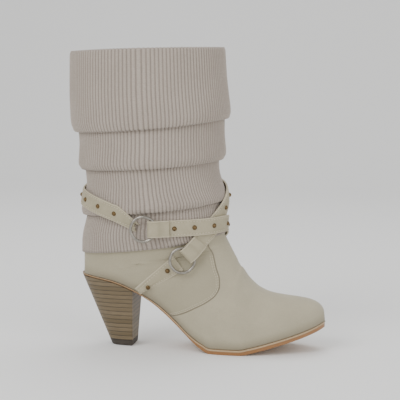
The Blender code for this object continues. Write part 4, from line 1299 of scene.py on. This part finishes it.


# Antique silver plate: bright where it is rubbed, darkened by patina in patches.
silver, tree, shader = material_named("antique_silver_plate")
place = node(tree, "ShaderNodeTexCoord")
patina = node(
    tree, "ShaderNodeTexNoise", {"Vector": place.outputs["Object"], "Scale": 300.0, "Detail": 4.0}
)
silver_tone = node(tree, "ShaderNodeMix", {"Factor": patina.outputs["Fac"]}, data_type="RGBA")
silver_tone.inputs["A"].default_value = linear("6D6860")
silver_tone.inputs["B"].default_value = linear("B9B4AA")
tree.links.new(silver_tone.outputs["Result"], shader.inputs["Base Color"])
shader.inputs["Metallic"].default_value = 1.0
dulled = node(
    tree,
    "ShaderNodeMapRange",
    {"Value": patina.outputs["Fac"], "From Min": 0.3, "From Max": 0.7, "To Min": 0.42, "To Max": 0.24},
)
tree.links.new(dulled.outputs[0], shader.inputs["Roughness"])
RING_OUTER, RING_WIRE = 0.028, 0.0030
for name in ("ring_ankle", "ring_instep"):
    middle_point, axes = flat_frame(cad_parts[name])
    middle_point = np.array([vert.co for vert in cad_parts[name].data.vertices]).mean(0)
    around_ring = np.linspace(0, 2 * math.pi, 73)[:-1]
    round_wire = np.linspace(0, 2 * math.pi, 17)[:-1]
    spokes = np.cos(around_ring)[:, None] * axes[0] + np.sin(around_ring)[:, None] * axes[1]
    reach = (RING_OUTER - RING_WIRE) / 2 + RING_WIRE / 2 * np.cos(round_wire)
    points = middle_point + spokes[:, None, :] * reach[None, :, None]
    points = points + axes[2] * (RING_WIRE / 2 * np.sin(round_wire))[None, :, None]
    metal_ring = skin(name + "_wire", points, tube=True)
    settle(metal_ring)
    metal_ring.data.materials.append(silver)
    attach(metal_ring, "root")
    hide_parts(name)


# Studs: hollow brass domes with a small rim, their prongs pushed through the straps and bent over,
# darkened to antique brass.
def stud_tree():
    """A dome with a rim on every point, turned to the point's own facing."""
    tree = bpy.data.node_groups.new("dome_studs", "GeometryNodeTree")
    sockets = tree.interface
    sockets.new_socket("Geometry", in_out="INPUT", socket_type="NodeSocketGeometry")
    for name in ("Stud Diameter", "Stud Height"):
        sockets.new_socket(name, in_out="INPUT", socket_type="NodeSocketFloat")
    sockets.new_socket("Metal", in_out="INPUT", socket_type="NodeSocketMaterial")
    sockets.new_socket("Geometry", in_out="OUTPUT", socket_type="NodeSocketGeometry")
    given, result = node(tree, "NodeGroupInput"), node(tree, "NodeGroupOutput")
    ball = node(tree, "GeometryNodeMeshUVSphere", {"Segments": 20, "Rings": 12, "Radius": 0.45})
    dome = node(
        tree, "GeometryNodeTransform", {"Geometry": ball.outputs["Mesh"], "Scale": (1.0, 1.0, 2.1)}
    )
    rim = node(tree, "GeometryNodeMeshUVSphere", {"Segments": 20, "Rings": 8, "Radius": 0.5})
    low_rim = node(
        tree, "GeometryNodeTransform", {"Geometry": rim.outputs["Mesh"], "Scale": (1.0, 1.0, 0.45)}
    )
    joined = node(tree, "GeometryNodeJoinGeometry")
    tree.links.new(dome.outputs["Geometry"], joined.inputs["Geometry"])
    tree.links.new(low_rim.outputs["Geometry"], joined.inputs["Geometry"])
    facing = node(
        tree, "GeometryNodeInputNamedAttribute", {"Name": "facing"}, data_type="FLOAT_VECTOR"
    )
    turned = node(
        tree,
        "FunctionNodeAlignRotationToVector",
        {"Vector": facing.outputs["Attribute"]},
        axis="Z",
    )
    size = node(
        tree,
        "ShaderNodeCombineXYZ",
        {
            "X": given.outputs["Stud Diameter"],
            "Y": given.outputs["Stud Diameter"],
            "Z": given.outputs["Stud Height"],
        },
    )
    placed = node(
        tree,
        "GeometryNodeInstanceOnPoints",
        {
            "Points": given.outputs["Geometry"],
            "Instance": joined.outputs["Geometry"],
            "Rotation": turned.outputs["Rotation"],
            "Scale": size.outputs[0],
        },
    )
    real = node(tree, "GeometryNodeRealizeInstances", {"Geometry": placed.outputs["Instances"]})
    smooth = node(tree, "GeometryNodeSetShadeSmooth", {"Geometry": real.outputs["Geometry"]})
    coloured = node(
        tree,
        "GeometryNodeSetMaterial",
        {"Geometry": smooth.outputs["Geometry"], "Material": given.outputs["Metal"]},
    )
    tree.links.new(coloured.outputs["Geometry"], result.inputs["Geometry"])
    return tree


# Antique brass: dark brown patina, with the warm metal rubbed through in patches.
brass, tree, shader = material_named("antique_brass")
place = node(tree, "ShaderNodeTexCoord")
tarnish = node(
    tree, "ShaderNodeTexNoise", {"Vector": place.outputs["Object"], "Scale": 420.0, "Detail": 3.0}
)
brass_tone = node(tree, "ShaderNodeMix", {"Factor": tarnish.outputs["Fac"]}, data_type="RGBA")
brass_tone.inputs["A"].default_value = linear("4A3B29")
brass_tone.inputs["B"].default_value = linear("86705099"[:6])
tree.links.new(brass_tone.outputs["Result"], shader.inputs["Base Color"])
shader.inputs["Metallic"].default_value = 1.0
shader.inputs["Roughness"].default_value = 0.38
studs = sorted(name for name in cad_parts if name.startswith("stud_"))
feet, facings = [], []
for name in studs:
    middle_point, axes = flat_frame(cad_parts[name])
    points = np.array([vert.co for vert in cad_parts[name].data.vertices])
    facing = axes[2]
    depth = (points - middle_point) @ facing
    spread = np.linalg.norm(points - middle_point - np.outer(depth, facing), axis=1)
    if depth[spread > 0.9 * spread.max()].mean() > 0:
        facing, depth = -facing, -depth
    feet.append(tuple(middle_point + facing * depth.min()))
    facings.append(facing)
stud_points = bpy.data.meshes.new("stud_points")
stud_points.from_pydata(feet, [], [])
attribute = stud_points.attributes.new("facing", "FLOAT_VECTOR", "POINT")
attribute.data.foreach_set("vector", np.array(facings, np.float32).ravel())
stud_heads = grow(
    "stud_heads",
    stud_points,
    stud_tree(),
    **{"Stud Diameter": 0.0048, "Stud Height": 0.0019, "Metal": brass},
)
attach(stud_heads, "root")
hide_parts(*studs)
